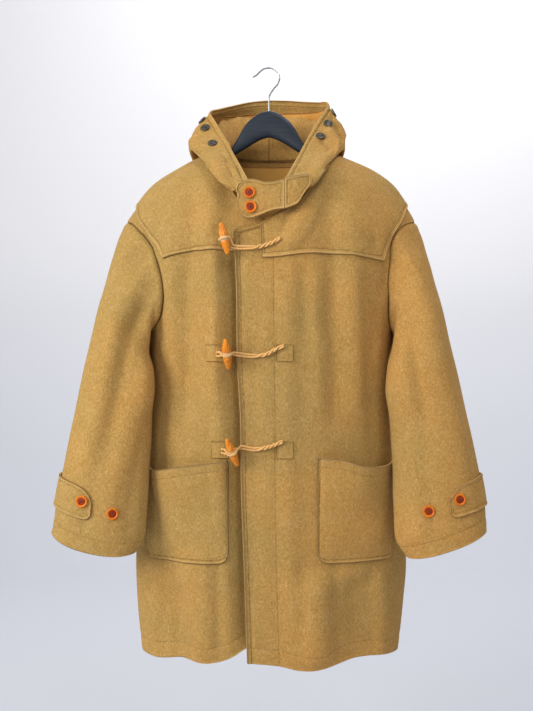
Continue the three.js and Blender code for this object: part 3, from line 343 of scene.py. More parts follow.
def back_net():
    def wrap(places):
        places = np.array(places, float)
        places[..., 0] = np.where(places[..., 0] < 0, places[..., 0] + 2 * math.pi, places[..., 0])
        return places
    left, right = side_line(1, "back"), side_line(-1, "back")

    def line_between(start, end, heights):
        def line(s):
            s = column(s)
            angle = mix(start[0], end[0], s)
            z = heights(body(angle, start[1], False)[:, 0])["z"]
            return np.stack([angle, level(z, start[1], end[1], s, 0.06, 0.06)], -1)
        return line
    hem = line_between(left(0.0)[0], wrap(right(0.0))[0], HEM_LINE[0])
    seam = line_between(armhole(1, "back", YOKE_U), wrap(armhole(-1, "back", YOKE_U)), YOKE_SEAM[0])

    def top(s):
        u = column(s) * BACK_COLUMNS
        off = np.abs(u - BACK_COLUMNS / 2)
        row = NECKLINE_BACK(np.minimum(off, BACK_NECK_COLUMNS))
        turn = np.where(off <= BACK_NECK_COLUMNS, row["angle"], 90)
        out = np.clip((off - BACK_NECK_COLUMNS) / SHOULDER_COLUMNS, 0, 1)
        z = np.where(off <= BACK_NECK_COLUMNS, row["z"], mix(NECK_POINT, SHOULDER_POINT, out))
        return np.stack([np.where(u < BACK_COLUMNS / 2, turn, 360 - turn) * DEG, z], -1)

    def lower(s, t):
        return net(hem, seam, left, lambda r: wrap(right(r)), s, t)

    def upper(s, t):
        return net(seam, top, yoke_side(1, "back"), lambda r: wrap(yoke_side(-1, "back")(r)), s, t)
    return lower, upper


def under_lap(x, z):
    """How far the under front lies in: below the lap, and in the long trough beside its edge."""
    beyond = x - LAPPED_EDGE(z)["x"]
    near = ease((beyond + 45) / 40)
    trough = 15 * np.clip((beyond + 28) / 25, 0, 1) ** 1.6 - 3 * bell(beyond + 36, 12)
    fade = ease((-342 - z) / 44) * ease((z + 1130) / 110)
    return near * (1 + ease((z + 410) / 34)) * 4.2 + trough * fade


def surface(places, drawn_in=None):
    points = body(places[..., 0], places[..., 1])
    if drawn_in is None:
        return points
    amount = drawn_in(points[..., 0], points[..., 2])
    return raised(points, body_normal(places[..., 0], places[..., 1]), -amount)


NETS = {"front_right": front_net(-1, lambda z: 0 * column(z) + UNDER_EDGE_X),
        "front_left": front_net(1, lambda z: LAPPED_EDGE(z)["x"], YOKE_EDGE_X),
        "back": back_net()}
DRAWN = {"front_right": under_lap, "front_left": None, "back": None}


# Thin walls of cloth
def grid_normals(points, closed=False):
    if closed:
        padded = np.concatenate([points[:, -1:], points, points[:, :1]], 1)
        du = padded[:, 2:] - padded[:, :-2]
    else:
        du = np.gradient(points, axis=1)
    return unit(np.cross(du, np.gradient(points, axis=0)))


def turned(normals, like):
    """Normals, flipped where need be to the side that some directions point to."""
    return normals * np.sign(np.sum(normals * like))


def outward(points):
    """Normals of a body panel, which face away from the middle of the body."""
    return turned(grid_normals(points), points * np.array([1, 1, 0]))


def lengths(points, axis):
    """Distance along each row or column of a grid, from its start."""
    d = np.linalg.norm(np.diff(points, axis=axis), axis=-1)
    zero = np.zeros_like(np.take(d, [0], axis=axis))
    return np.concatenate([zero, np.cumsum(d, axis=axis)], axis=axis)


def edges(points):
    """Distances from the bottom, top, start and end of a grid."""
    up, over = lengths(points, 0), lengths(points, 1)
    return up, up[-1:] - up, over, over[:, -1:] - over


def flat_area(points):
    """Area of a grid in square metres."""
    a = points[1:, 1:] - points[:-1, :-1]
    b = points[1:, :-1] - points[:-1, 1:]
    return float(np.linalg.norm(np.cross(a, b), axis=-1).sum() / 2) * MM * MM


def to_mesh(name, vertices, faces, materials, material_index=None, attributes=None):
    mesh = bpy.data.meshes.new(name)
    mesh.from_pydata((np.asarray(vertices) * MM).tolist(), [], faces)
    mesh.polygons.foreach_set("use_smooth", [True] * len(mesh.polygons))
    for material in materials:
        mesh.materials.append(material)
    if material_index is not None:
        mesh.polygons.foreach_set("material_index", np.asarray(material_index, dtype=np.int32))
    for key, values in (attributes or {}).items():
        layer = mesh.attributes.new(key, "FLOAT", "POINT")
        layer.data.foreach_set("value", np.asarray(values, dtype=np.float32).ravel())
    mesh.update()
    thing = bpy.data.objects.new(name, mesh)
    bpy.context.scene.collection.objects.link(thing)
    return thing


def shell(name, points, normals, outer_off, thick, slots, attributes, closed):
    """A closed thin wall over a grid, with a rounded rim. slots: materials of the outer and inner
    face. Attributes are grids that run over the outer face and are kept on the inner one."""
    outer = points + normals * outer_off
    inner = points + normals * (outer_off - thick)
    flat_outer, flat_inner, flat = outer.reshape(-1, 3), inner.reshape(-1, 3), points.reshape(-1, 3)
    count = len(flat)
    index = np.arange(count).reshape(points.shape[:2])
    after = np.roll(index, -1, axis=1) if closed else index[:, 1:]
    here = index if closed else index[:, :-1]
    a, b, c, d = here[:-1], after[:-1], after[1:], here[1:]
    outer_faces = np.stack([a, b, c, d], -1).reshape(-1, 4).tolist()
    inner_faces = (np.stack([a, d, c, b], -1).reshape(-1, 4) + count).tolist()
    edge_lines = [(index[0][::-1], index[1][::-1]), (index[-1], index[-2])]
    if not closed:
        edge_lines += [(index[:, 0], index[:, 1]), (index[:, -1][::-1], index[:, -2][::-1])]
    vertices, rims, total = [flat_outer, flat_inner], [], 2 * count
    for line, beyond in edge_lines:
        middle = (flat_outer[line] + flat_inner[line]) / 2
        vertices.append(middle + unit(flat[line] - flat[beyond]) * thick * RIM_SWELL)
        ids = np.arange(len(line)) + total
        total += len(line)
        for i in range(len(line) if closed else len(line) - 1):
            j = (i + 1) % len(line)
            rims.append([line[i], ids[i], ids[j], line[j]])
            rims.append([ids[i], line[i] + count, line[j] + count, ids[j]])
    faces = outer_faces + inner_faces + rims
    across, up = outer[:-1, 1:] - outer[:-1, :-1], outer[1:, :-1] - outer[:-1, :-1]
    if np.sum(np.cross(up, across) * normals[:-1, :-1]) > 0:
        faces = [face[::-1] for face in faces]
    material_index = [0] * len(outer_faces) + [1] * len(inner_faces) + [0] * len(rims)
    data = {key: np.concatenate([grid.ravel()] * 2 + [grid.ravel()[line] for line, _ in edge_lines])
            for key, grid in attributes.items()}
    return to_mesh(name, np.concatenate(vertices), faces, slots, material_index, data)


def cloth(name, node, points, normals, outer_off, held, rests, thick=CLOTH, slot="wool", closed=False,
          **marks):
    """A piece of cloth that replaces a node, with its cut: the longest row and column of its grid.
    Marks are distances in mm to rows of stitching, a felled edge and a seam, where the wool paints
    shade in the rows and at the seam and a highlight along the edge."""
    wool = slot == "wool"
    grids = {key: marks.get(key, np.full(points.shape[:2], FAR)) for key in MARKS} if wool else {}
    thing = shell(name, points, normals, outer_off, thick, [WOOL, WOOL_INNER] if wool else [LINING, LINING],
                  grids, closed)
    wrap = np.concatenate([points, points[:, :1]], 1) if closed else points
    width = float(lengths(wrap, 1)[:, -1].max()) * MM
    length = float(lengths(points, 0)[-1].max()) * MM
    area = min(flat_area(wrap), width * length)
    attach(thing, "root")
    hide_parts(node)
    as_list(rests)
    CUTS.append((thing.name, round(width, 3), round(length, 3), round(area, 3)))


RIM_SWELL = 0.4
MARKS = ("row_a", "row_b", "row_c", "rim", "seam")
CUTS = []


# Materials
class Nodes:
    """A material's node tree, with short calls for the nodes used here."""

    def __init__(self, name):
        self.material = bpy.data.materials.new(name)
        self.material.use_nodes = True
        self.tree = self.material.node_tree
        self.tree.nodes.clear()
        self.shader = self.node("BsdfPrincipled", {})
        self.node("OutputMaterial", {"Surface": self.shader.outputs[0]})
        self.place = self.node("TexCoord", {}).outputs["Object"]

    def put(self, socket, value):
        if isinstance(value, (int, float, tuple)):
            socket.default_value = value
        else:
            self.tree.links.new(value, socket)

    def node(self, kind, sockets):
        node = self.tree.nodes.new("ShaderNode" + kind)
        for key, value in sockets.items():
            self.put(node.inputs[key], value)
        return node

    def scaled(self, scale, turn=(0, 0, 0)):
        return self.node("Mapping", {"Vector": self.place, "Scale": scale, "Rotation": turn}).outputs[0]

    def noise(self, scale, detail=3.0, rough=0.55, vector=None, distortion=0.0):
        return self.node("TexNoise", {"Vector": vector or self.place, "Scale": scale, "Detail": detail,
                                      "Roughness": rough, "Distortion": distortion}).outputs["Fac"]

    def wave(self, scale, vector, distortion):
        sockets = {"Vector": vector, "Scale": scale, "Distortion": distortion}
        return self.node("TexWave", sockets).outputs["Fac"]

    def math(self, operation, a, b=0.0):
        node = self.node("Math", {0: a, 1: b})
        node.operation = operation
        return node.outputs[0]

    def remap(self, value, low, high, to_low=0.0, to_high=1.0):
        node = self.node("MapRange", {"Value": value, "From Min": low, "From Max": high, "To Min": to_low,
                                      "To Max": to_high})
        node.interpolation_type = "SMOOTHSTEP"
        return node.outputs[0]

    def blend(self, factor, a, b):
        node = self.node("Mix", {})
        node.data_type = "RGBA"
        for socket, value in ((0, factor), (6, a), (7, b)):
            self.put(node.inputs[socket], value)
        return node.outputs[2]

    def axis(self, which):
        return self.node("SeparateXYZ", {0: self.place}).outputs[which]

    def attribute(self, name):
        node = self.node("Attribute", {})
        node.attribute_name = name
        return node.outputs["Fac"]

    def bump(self, height, strength, distance, normal=None):
        sockets = {"Strength": strength, "Distance": distance, "Height": height}
        return self.node("Bump", {**sockets, "Normal": normal} if normal else sockets).outputs[0]

    def finish(self, colour, roughness, normal=None, **numbers):
        self.put(self.shader.inputs["Base Color"], colour)
        self.put(self.shader.inputs["Roughness"], roughness)
        if normal is not None:
            self.put(self.shader.inputs["Normal"], normal)
        for key, value in numbers.items():
            self.shader.inputs[key.replace("_", " ")].default_value = value
        return self.material


def rgb(r, g, b):
    """Linear colour from screen values of 0 to 255."""
    def linear(v):
        v = v / 255
        return v / 12.92 if v <= 0.04045 else ((v + 0.055) / 1.055) ** 2.4
    return (linear(r), linear(g), linear(b), 1.0)


def wool_material(name, warmth=0.0):
    """Brushed camel wool: uneven dye, a tone warmer towards +X, short nap, a painted highlight along
    felled edges and painted shade in rows of stitching and at seams. The attributes are distances in
    mm: row_a to row_c to rows of stitching, rim to a felled edge and seam to a seam."""
    m = Nodes(name)
    khaki, camel, light = rgb(172, 140, 78), rgb(190, 142, 74), rgb(206, 168, 108)
    dye = m.noise(5.5, 3, 0.5)
    # The tone also grows warmer towards +X, the coat's left side.
    across = m.math("MULTIPLY", m.axis("X"), 0.4)
    warm = m.remap(m.math("ADD", dye, across), 0.3 - warmth, 0.74 - warmth)
    colour = m.blend(warm, khaki, camel)
    blotch = m.noise(38, 4, 0.6)
    colour = m.blend(m.remap(blotch, 0.42, 0.8, 0.0, 0.28), colour, light)
    pile = m.noise(330, 4, 0.85, m.scaled((1, 1, 0.7)), 0.5)
    fibre = m.noise(1250, 3, 0.65)
    nap = m.math("ADD", m.math("MULTIPLY", pile, 0.55), m.math("MULTIPLY", fibre, 0.45))
    colour = m.blend(m.remap(nap, 0.36, 0.55, 0.7, 0.0), colour, rgb(132, 96, 44))
    colour = m.blend(m.remap(nap, 0.5, 0.66, 0.0, 0.5), colour, rgb(232, 198, 138))
    rim, seam = m.attribute("rim"), m.attribute("seam")
    rows = [m.math("ABSOLUTE", m.attribute(key)) for key in ("row_a", "row_b", "row_c")]
    strong = m.remap(rows[0], 0.3, 2.0, 1.0, 0.0)
    faint = m.remap(m.math("MINIMUM", rows[1], rows[2]), 0.3, 1.8, 1.0, 0.0)
    groove = m.math("MAXIMUM", strong, m.math("MULTIPLY", faint, 0.55))
    groove = m.math("MULTIPLY", groove, m.remap(m.noise(150, 2), 0.3, 0.62, 0.25, 1.0))
    # Painted shade: the wool is coloured darker in the grooves of the stitching rows.
    colour = m.blend(m.math("MULTIPLY", groove, 0.42), colour, rgb(98, 68, 28))
    # Painted highlight: the wool is coloured lighter along a felled edge, where the edge catches the light.
    edge = m.remap(rim, 0.5, 3.6, 1.0, 0.0)
    colour = m.blend(m.math("MULTIPLY", edge, 0.32), colour, rgb(232, 194, 132))
    # Painted shade: the wool is coloured darker along a seam, where shade falls in the join.
    join = m.remap(seam, 0.3, 3.2, 1.0, 0.0)
    colour = m.blend(m.math("MULTIPLY", join, 0.6), colour, rgb(88, 58, 24))
    height = m.math("MULTIPLY", nap, 1.3)
    height = m.math("SUBTRACT", height, groove)
    height = m.math("SUBTRACT", height, m.math("MULTIPLY", join, 1.3))
    normal = m.bump(height, 0.9, 0.0014)
    normal = m.bump(m.noise(58, 4, 0.6), 0.5, 0.003, normal)
    return m.finish(colour, 0.92, normal, Sheen_Weight=0.18, Sheen_Roughness=0.4,
                    Sheen_Tint=rgb(240, 205, 150), Specular_IOR_Level=0.2)


def lining_material():
    m = Nodes("gold_lining")
    colour = m.blend(m.noise(9, 3), rgb(244, 172, 70), rgb(252, 196, 104))
    twill = m.wave(330, m.scaled((1, 1, 1), (0.0, 0.8, 0.0)), 0.4)
    slub = m.noise(1.0, 3, 0.6, m.scaled((300, 300, 40)))
    colour = m.blend(m.math("MULTIPLY", slub, 0.3), colour, rgb(176, 118, 46))
    height = m.math("ADD", m.math("MULTIPLY", twill, 0.3), m.noise(60, 3))
    return m.finish(colour, 0.55, m.bump(height, 0.5, 0.0012), Sheen_Weight=0.2, Specular_IOR_Level=0.4)


def horn_material(name, base, dark, light, gloss=0.22):
    m = Nodes(name)
    streak = m.noise(1.0, 4, 0.6, m.scaled((260, 260, 46)), 1.2)
    colour = m.blend(m.remap(streak, 0.35, 0.7), base, light)
    colour = m.blend(m.remap(m.noise(190, 3), 0.5, 0.8, 0.0, 0.75), colour, dark)
    rough = m.remap(m.noise(400, 2), 0.3, 0.7, gloss, gloss + 0.16)
    return m.finish(colour, rough, m.bump(streak, 0.35, 0.0006), Coat_Weight=0.06, Coat_Roughness=0.15,
                    Specular_IOR_Level=0.28)


def cord_material():
    m = Nodes("twisted_cord")
    strand = m.noise(1.0, 3, 0.6, m.scaled((700, 700, 700)))
    colour = m.blend(m.remap(strand, 0.35, 0.7), rgb(206, 150, 76), rgb(248, 204, 132))
    colour = m.blend(m.remap(m.noise(60, 2), 0.4, 0.75, 0, 0.4), colour, rgb(222, 172, 98))
    return m.finish(colour, 0.8, m.bump(strand, 0.6, 0.0005), Sheen_Weight=0.15)


def metal_material(name, base, worn, rough):
    m = Nodes(name)
    colour = m.blend(m.remap(m.noise(300, 4), 0.45, 0.7), base, worn)
    return m.finish(colour, m.remap(m.noise(120, 3), 0.3, 0.7, rough, rough + 0.18),
                    m.bump(m.noise(500, 2), 0.15, 0.0003), Metallic=0.9)


def hanger_material():
    m = Nodes("dark_wood")
    grain = m.noise(1.0, 4, 0.6, m.scaled((18, 160, 420)), 0.8)
    colour = m.blend(m.remap(grain, 0.35, 0.7), rgb(26, 34, 46), rgb(36, 45, 58))
    colour = m.blend(m.remap(m.noise(26, 3), 0.5, 0.8, 0.0, 0.3), colour, rgb(48, 57, 70))
    return m.finish(colour, m.remap(m.noise(35, 3), 0.3, 0.7, 0.36, 0.5),
                    m.bump(grain, 0.25, 0.0006), Coat_Weight=0.08, Coat_Roughness=0.3,
                    Specular_IOR_Level=0.3)


def plain_material(name, low, high, rough):
    m = Nodes(name)
    return m.finish(m.blend(m.noise(3, 2), low, high), rough)


WOOL = wool_material("camel_wool")
WOOL_INNER = wool_material("camel_wool_inside", 0.05)
LINING = lining_material()
HORN = horn_material("toggle_horn", rgb(208, 116, 18), rgb(154, 68, 8), rgb(234, 152, 50))
BUTTON_HORN = horn_material("button_horn", rgb(120, 28, 1), rgb(78, 13, 1), rgb(164, 58, 5), 0.34)
# The rim is a lighter copy of the button's horn: painted highlight where the raised rim catches the light.
BUTTON_RIM_LIT = horn_material("button_rim_lit", rgb(208, 100, 6), rgb(176, 66, 2), rgb(232, 134, 16), 0.42)
CORD_YARN = cord_material()
THREAD = plain_material("waxed_thread", rgb(206, 186, 150), rgb(228, 212, 180), 0.7)
DARK_THREAD = plain_material("button_thread", rgb(92, 52, 24), rgb(120, 70, 34), 0.8)
GUNMETAL = metal_material("gunmetal", rgb(78, 72, 62), rgb(112, 106, 94), 0.3)
STEEL = metal_material("steel_wire", rgb(176, 180, 186), rgb(206, 210, 214), 0.18)
DARK_WOOD = hanger_material()


# Fronts, back and yokes
def panel_grid(name, columns, lower_rows, upper_rows, s_range=(0, 1), t_top=None):
    """A panel's fine grid, from the hem to the neck and shoulder, or its yoke part alone."""
    lower, upper = NETS[name]
    s = np.linspace(*s_range, columns)
    t_up = np.linspace(0, 1, upper_rows)
    parts = []
    if lower_rows:
        parts.append(lower(s, np.linspace(0, 1, lower_rows))[:-1])
    if t_top is None:
        parts.append(upper(s, t_up))
    else:
        full = upper(s, np.linspace(0, 1, 201))
        rows = t_up[:, None] * t_top(s)[None] * 200
        low = np.clip(rows.astype(int), 0, 199)
        part = (rows - low)[..., None]
        pick = np.arange(columns)[None]
        parts.append(full[low, pick] * (1 - part) + full[low + 1, pick] * part)
    return surface(np.concatenate(parts), DRAWN[name])


def build_fronts():
    facing_line = Table("z x", [[-1100, 19], [-940, 14], [-763, 11], [-657, 11], [-372, 8], [-320, 8]])
    for word, side in SIDES:
        name = "front_" + word
        points = panel_grid(name, 68, 184, 76)
        up, down, start, end = edges(points)
        normals = outward(points)
        marks = {"row_b": up - HEM_ROW, "rim": np.minimum(up + PLAIN_RIM, FAR),
                 "seam": np.where(points[..., 2] < UNDERARM + 8, end, FAR)}
        points = sunk(points, normals, 1.6, 5, marks["seam"])
        if side > 0:
            inward = np.minimum(start, np.where(end > 150, down, FAR))
            line = points[..., 0] - facing_line(points[..., 2])["x"]
            marks.update(rim=np.minimum(marks["rim"], start), row_a=inward - LAP_ROW, row_c=line)
            points = sunk(points, normals, 0.9, 4, line)
            points = sunk(points, normals, 1.4, 3, inward - LAP_ROW)
            points = raised(points, normals, 1.8 * bell(inward - 2, 4))
        points = sunk(points, normals, 0.7, 4, up - HEM_ROW)
        cloth("cloth_" + name, name, points, outward(points), 0, "hung", ["hanger_body"], **marks)


def build_back():
    points = panel_grid("back", 124, 184, 66)
    up, _, start, end = edges(points)
    normals = outward(points)
    seam = np.where(points[..., 2] < UNDERARM + 8, np.minimum(start, end), FAR)
    points = sunk(points, normals, 1.6, 5, seam)
    points = sunk(points, normals, 0.7, 4, up - HEM_ROW)
    cloth("cloth_back", "back", points, outward(points), 0, "hung", ["hanger_body"],
          row_b=up - HEM_ROW, rim=up + PLAIN_RIM, seam=seam)
    band = panel_grid("back", 90, 0, 60, (3 / 16, 13 / 16), lambda s: 1 - 0.22 / YOKE_ROWS + 0 * s)
    cloth("lining_back_neck", "back_lining", band, outward(band), -5.0, "hung", ["back"], 0.9, "lining")


def build_yokes():
    def front_top(s):
        return 1 - 0.36 / YOKE_ROWS * (1 - ease(s * FRONT_COLUMNS - NECK_COLUMNS + 1))

    def back_top(s):
        return 1 - 0.12 / YOKE_ROWS * ease(4.6 - np.abs(s * 16 - 8))
    plans = [("yoke_front_right", "front_right", (0, 10 / 11), front_top, 66, FRONT_YOKE_LIFT),
             ("yoke_front_left", "front_left", (1 / 11, 10 / 11), front_top, 62, FRONT_YOKE_LIFT),
             ("yoke_back", "back", (1 / 16, 15 / 16), back_top, 120, BACK_YOKE_LIFT)]
    for node, panel, s_range, t_top, columns, lift in plans:
        points = panel_grid(panel, columns, 0, 60, s_range, t_top)
        up, _, start, end = edges(points)
        normals = outward(points)
        inward = np.minimum(up, end)
        if node != "yoke_front_right":
            inward = np.minimum(inward, start)
        points = raised(points, normals, 0.6 * bell(inward - 2.5, 3.2))
        points = sunk(points, normals, 1.0, 3, inward - YOKE_ROW)
        cloth("cloth_" + node, node, points, outward(points), LAYER + lift, "laid", [panel],
              row_a=inward - YOKE_ROW, rim=inward)


# Sleeves: rings from the shoulder (0) to the cuff (10)
SLEEVE = {
    -1: Table("v outer_x outer_z inner_x inner_z y depth drop", [
        [0, -270, -288, -230, -505, -8, 66, 0], [1, -285, -322, -238, -513, -14, 66, 0],
        [2, -294, -362, -231, -523, -25, 65, 0], [3, -304, -412, -224, -540, -39, 64, 0],
        [4, -316, -470, -215, -567, -56, 62, 0], [5, -333, -550, -214, -615, -65, 60, 0],
        [6, -349, -625, -214, -680, -70, 57, 0], [7, -362, -698, -216, -742, -80, 53, 2],
        [8, -375, -768, -219, -806, -90, 49, 4], [9, -385, -838, -222, -866, -98, 46, 9],
        [10, -387, -856, -236, -891, -102, 44, 14]]),
    1: Table("v outer_x outer_z inner_x inner_z y depth drop", [
        [0, 277, -288, 233, -505, -8, 66, 0], [1, 290, -322, 240, -513, -14, 66, 0],
        [2, 298, -362, 233, -523, -26, 65, 0], [3, 308, -412, 226, -540, -41, 64, 0],
        [4, 320, -470, 219, -567, -56, 62, 0], [5, 337, -550, 217, -615, -65, 60, 0],
        [6, 354, -625, 221, -680, -70, 57, 0], [7, 368, -698, 223, -742, -80, 53, 2],
        [8, 381, -768, 224, -806, -90, 49, 1], [9, 388, -838, 226, -868, -98, 46, 3],
        [10, 387, -855, 246, -903, -102, 44, 4]])}
# side, turn1, v1, turn2, v2, width in degrees, height. Turns: 0 outside, 90 front, 180 inside
SLEEVE_FOLDS = [
    [-1, 118, 1.5, 92, 7, 17, -8], [-1, 78, 2, 66, 8, 20, 4], [-1, 150, 3.5, 128, 7, 16, 4],
    [1, 112, 2, 96, 6.5, 18, -5], [1, 70, 2.5, 60, 8, 22, 4], [-1, 270, 2, 255, 8, 24, -6],
    [1, 268, 2.5, 258, 8, 24, -6], [-1, 150, 1.5, 150, 5.4, 27, 14], [1, 151, 1.5, 151, 5.4, 27, 13],
    [-1, 112, 1.6, 94, 6.6, 11, -4.5], [1, 108, 2.2, 98, 6.2, 12, -3.4], [-1, 58, 0.3, 52, 2.6, 9, -2.6],
    [-1, 88, 0.2, 84, 2.4, 9, 2.4], [-1, 120, 0.4, 108, 2.2, 8, 2], [-1, 138, 2.2, 120, 5.2, 9, -2.8],
    [-1, 104, 3.2, 96, 6.4, 8, 2.2], [-1, 58, 3.4, 48, 6.4, 10, -2], [-1, 112, 6.2, 104, 8.4, 10, 2.4],
    [-1, 84, 6.4, 78, 9.2, 10, -2], [-1, 140, 6, 132, 8.8, 10, -2.4], [-1, 30, 4, 26, 8, 12, 2],
    [-1, 210, 1.5, 220, 7, 12, 3], [-1, 300, 2, 296, 8, 14, 2.6], [1, 56, 0.3, 50, 2.8, 9, 2.4],
    [1, 84, 0.3, 80, 2.6, 9, -2.4], [1, 118, 0.5, 110, 2.4, 8, 2.2], [1, 132, 2, 118, 5.6, 9, 2.6],
    [1, 86, 3, 76, 6, 9, -2.2], [1, 52, 3.6, 46, 7, 10, 2.2], [1, 110, 6.4, 102, 9, 10, -2.6],
    [1, 128, 6.6, 122, 9.2, 10, 2.2], [1, 34, 4.6, 30, 8.2, 12, -2.2], [1, 208, 1.6, 218, 7, 12, 3],
    [1, 302, 2.4, 298, 8, 14, -2.6]]


def sleeve_at(side, turn, v):
    turn, v = np.broadcast_arrays(np.asarray(turn, float), np.asarray(v, float))
    row = SLEEVE[side](v)
    outer = vec(row["outer_x"], row["y"], row["outer_z"])
    inner = vec(row["inner_x"], row["y"], row["inner_z"])
    middle, across_half = (outer + inner) / 2, (outer - inner) / 2
    down = unit(vec(-across_half[..., 2], 0, across_half[..., 0])) * -side
    swell = ridges(turn, v, SLEEVE_FOLDS, side, 0.2)
    swell = swell + 0.8 * np.sin(turn / 13 + v * 1.7) * np.sin(v * 2.3 - turn / 40)
    half = np.linalg.norm(across_half, axis=-1)
    cos, sin = np.cos(turn * DEG), np.sin(turn * DEG)
    return (middle + across_half * (cos * (1 + swell / half))[..., None]
            + vec(0, -sin * (row["depth"] + swell), 0) + down * (row["drop"] * sin)[..., None])


def armhole_at(side, turn):
    """The armhole's place at each turn: down the front, under the arm and up the back."""
    t = np.where(turn <= 180, turn, 360 - turn)
    u = np.where(t <= 90, mix(1, YOKE_U, t / 90), mix(YOKE_U, 0, (t - 90) / 90))
    front = armhole(side, "front", u)
    rear = armhole(side, "back", u)
    places = np.where((turn <= 180)[:, None], front, rear)
    return surface(places)


def build_sleeves():
    for word, side in SIDES:
        turns = np.linspace(0, 360, 96, endpoint=False)
        v = np.concatenate([np.linspace(0, 9, 140)[:-1], np.linspace(9, 10, 8)])
        offset = armhole_at(side, turns) - sleeve_at(side, turns, 0 * turns)
        kept = (1 - ease(v / 4.2))[:, None, None]
        points = sleeve_at(side, turns[None], v[:, None]) + offset[None] * kept
        points[0] += unit(points[1] - points[0]) * 0.3
        up = lengths(points, 0)
        down = up[-1:] - up
        centre = points.mean(1, keepdims=True)
        normals = turned(grid_normals(points, True), points - centre)
        points = sunk(points, normals, 1.8, 5, up)
        points = raised(points, normals, 1.2 * bell(up - 11, 7))
        points = sunk(points, normals, 0.8, 4, down - CUFF_ROW)
        normals = turned(grid_normals(points, True), points - centre)
        normals[0] = normals[1]
        seam_turn = np.abs((turns - 186 + 180) % 360 - 180)[None] * np.ones_like(up) * 1.1
        cloth("cloth_sleeve_" + word, "sleeve_" + word, points, normals, 0, "hung", ["front_" + word],
              closed=True, row_b=down - CUFF_ROW, rim=down + PLAIN_RIM, seam=np.minimum(up, seam_turn))


def patch_of_sleeve(side, turns, v):
    points = sleeve_at(side, turns, v)
    around = sleeve_at(side, turns + 2, v) - sleeve_at(side, turns - 2, v)
    along = sleeve_at(side, turns, v + 0.05) - sleeve_at(side, turns, v - 0.05)
    return points, unit(np.cross(around, along)) * side


def trim_sheet(node, points, normals, outer_off, rests, thick=CLOTH, row=5.5, puff=0.9, quiet=False):
    """A small double layer with a felled edge. A quiet one has neither the painted edge highlight nor the
    painted shade of its stitching.
    """
    inward = np.minimum.reduce(edges(points))
    points = raised(points, normals, puff * bell(inward - 2.4, 2.6) - 0.5 * bell(inward - row, 2))
    marks = {} if quiet else {"row_b": inward - row}
    cloth("cloth_" + node, node, points, normals, outer_off, "laid", [rests], thick,
          rim=inward + FAR * quiet, **marks)


def build_cuffs():
    tab = Table("turn low high", [
        [-46, 8.52, 7.82], [44, 8.54, 7.84], [60, 8.55, 7.85], [72, 8.56, 7.93], [78, 8.54, 8.05],
        [82, 8.46, 8.17]])
    for word, side in SIDES:
        turns = np.linspace(-46, 82, 56)
        row = tab(turns)
        v = mix(row["low"][None], row["high"][None], np.linspace(0, 1, 22)[:, None])
        points, normals = patch_of_sleeve(side, turns[None] + 0 * v, v)
        trim_sheet("cuff_tab_" + word, points, normals, LAYER + 0.6, "sleeve_" + word)
        for i, (turn, place, off) in enumerate(((70, 8.18, LAYER + 0.85), (109, 8.31, 0.3))):
            point, normal = patch_of_sleeve(side, np.array([float(turn)]), np.array([place]))
            button(f"cuff_button_{word}_{i + 1}", point[0] + normal[0] * off, normal[0])


def build_pockets():
    plans = [("right", -1, -73, -226, Table("s z", [
        [0, -730], [0.35, -741], [0.65, -752], [0.85, -752], [1, -744]])),
             ("left", 1, 86, 225, Table("s z", [
                 [0, -727], [0.2, -729], [0.4, -741], [0.7, -744], [1, -734]]))]
    corner, bottom = 17, -914
    for word, side, inner, outer, mouth in plans:
        s, t = np.linspace(0, 1, 44), np.linspace(0, 1, 50)[:, None]
        round_part = np.maximum(0, 1 - np.minimum(s, 1 - s) * abs(outer - inner) / corner)
        low = bottom + corner * (1 - np.sqrt(1 - round_part ** 2))
        z = mix(low[None], mouth(s)["z"][None], t)
        angle = mix(angle_at(inner, z), angle_at(outer, z), s[None])
        fullness = np.maximum(np.sin(math.pi * s), 0) ** 0.7
        off = 8 * fullness * ease(t / 0.35) + 15 * fullness * ease((t - 0.35) / 0.65)
        if side < 0:
            # The outer part falls back behind a fold
            behind = ease((s[None] - mix(0.64, 0.81, (z + 885) / 140)) / 0.09) * ease((z + 892) / 46)
            off = off * (1 - 0.8 * behind) + 3 * bell(s[None] - 0.6, 0.1) * t
        off = off + 1.6 * np.sin(s * 9 + 1) * np.sin(t * 5) * fullness
        base = surface(np.stack([angle, z], -1), under_lap if side < 0 else None)
        normals = body_normal(angle, z)
        points = raised(base, normals, off)
        up, down, start, end = edges(points)
        sewn = np.minimum.reduce([up, start, end])
        points = raised(points, normals, 0.9 * bell(np.minimum(sewn, down) - 2.5, 2.6)
                        - 0.8 * bell(sewn - POCKET_ROW, 2.4) - 0.6 * bell(down - MOUTH_ROW, 2.4))
        facing = turned(grid_normals(points), normals)
        blend_in = ease(np.minimum(sewn, 40) / 12)[..., None]
        facing = unit(facing * blend_in + normals * (1 - blend_in))
        cloth("cloth_pocket_" + word, "pocket_" + word, points, facing, LAYER + 0.8, "hung",
              ["front_" + word], row_a=sewn - POCKET_ROW, row_b=down - MOUTH_ROW,
              rim=np.minimum(sewn, down), seam=sewn + 1.4)


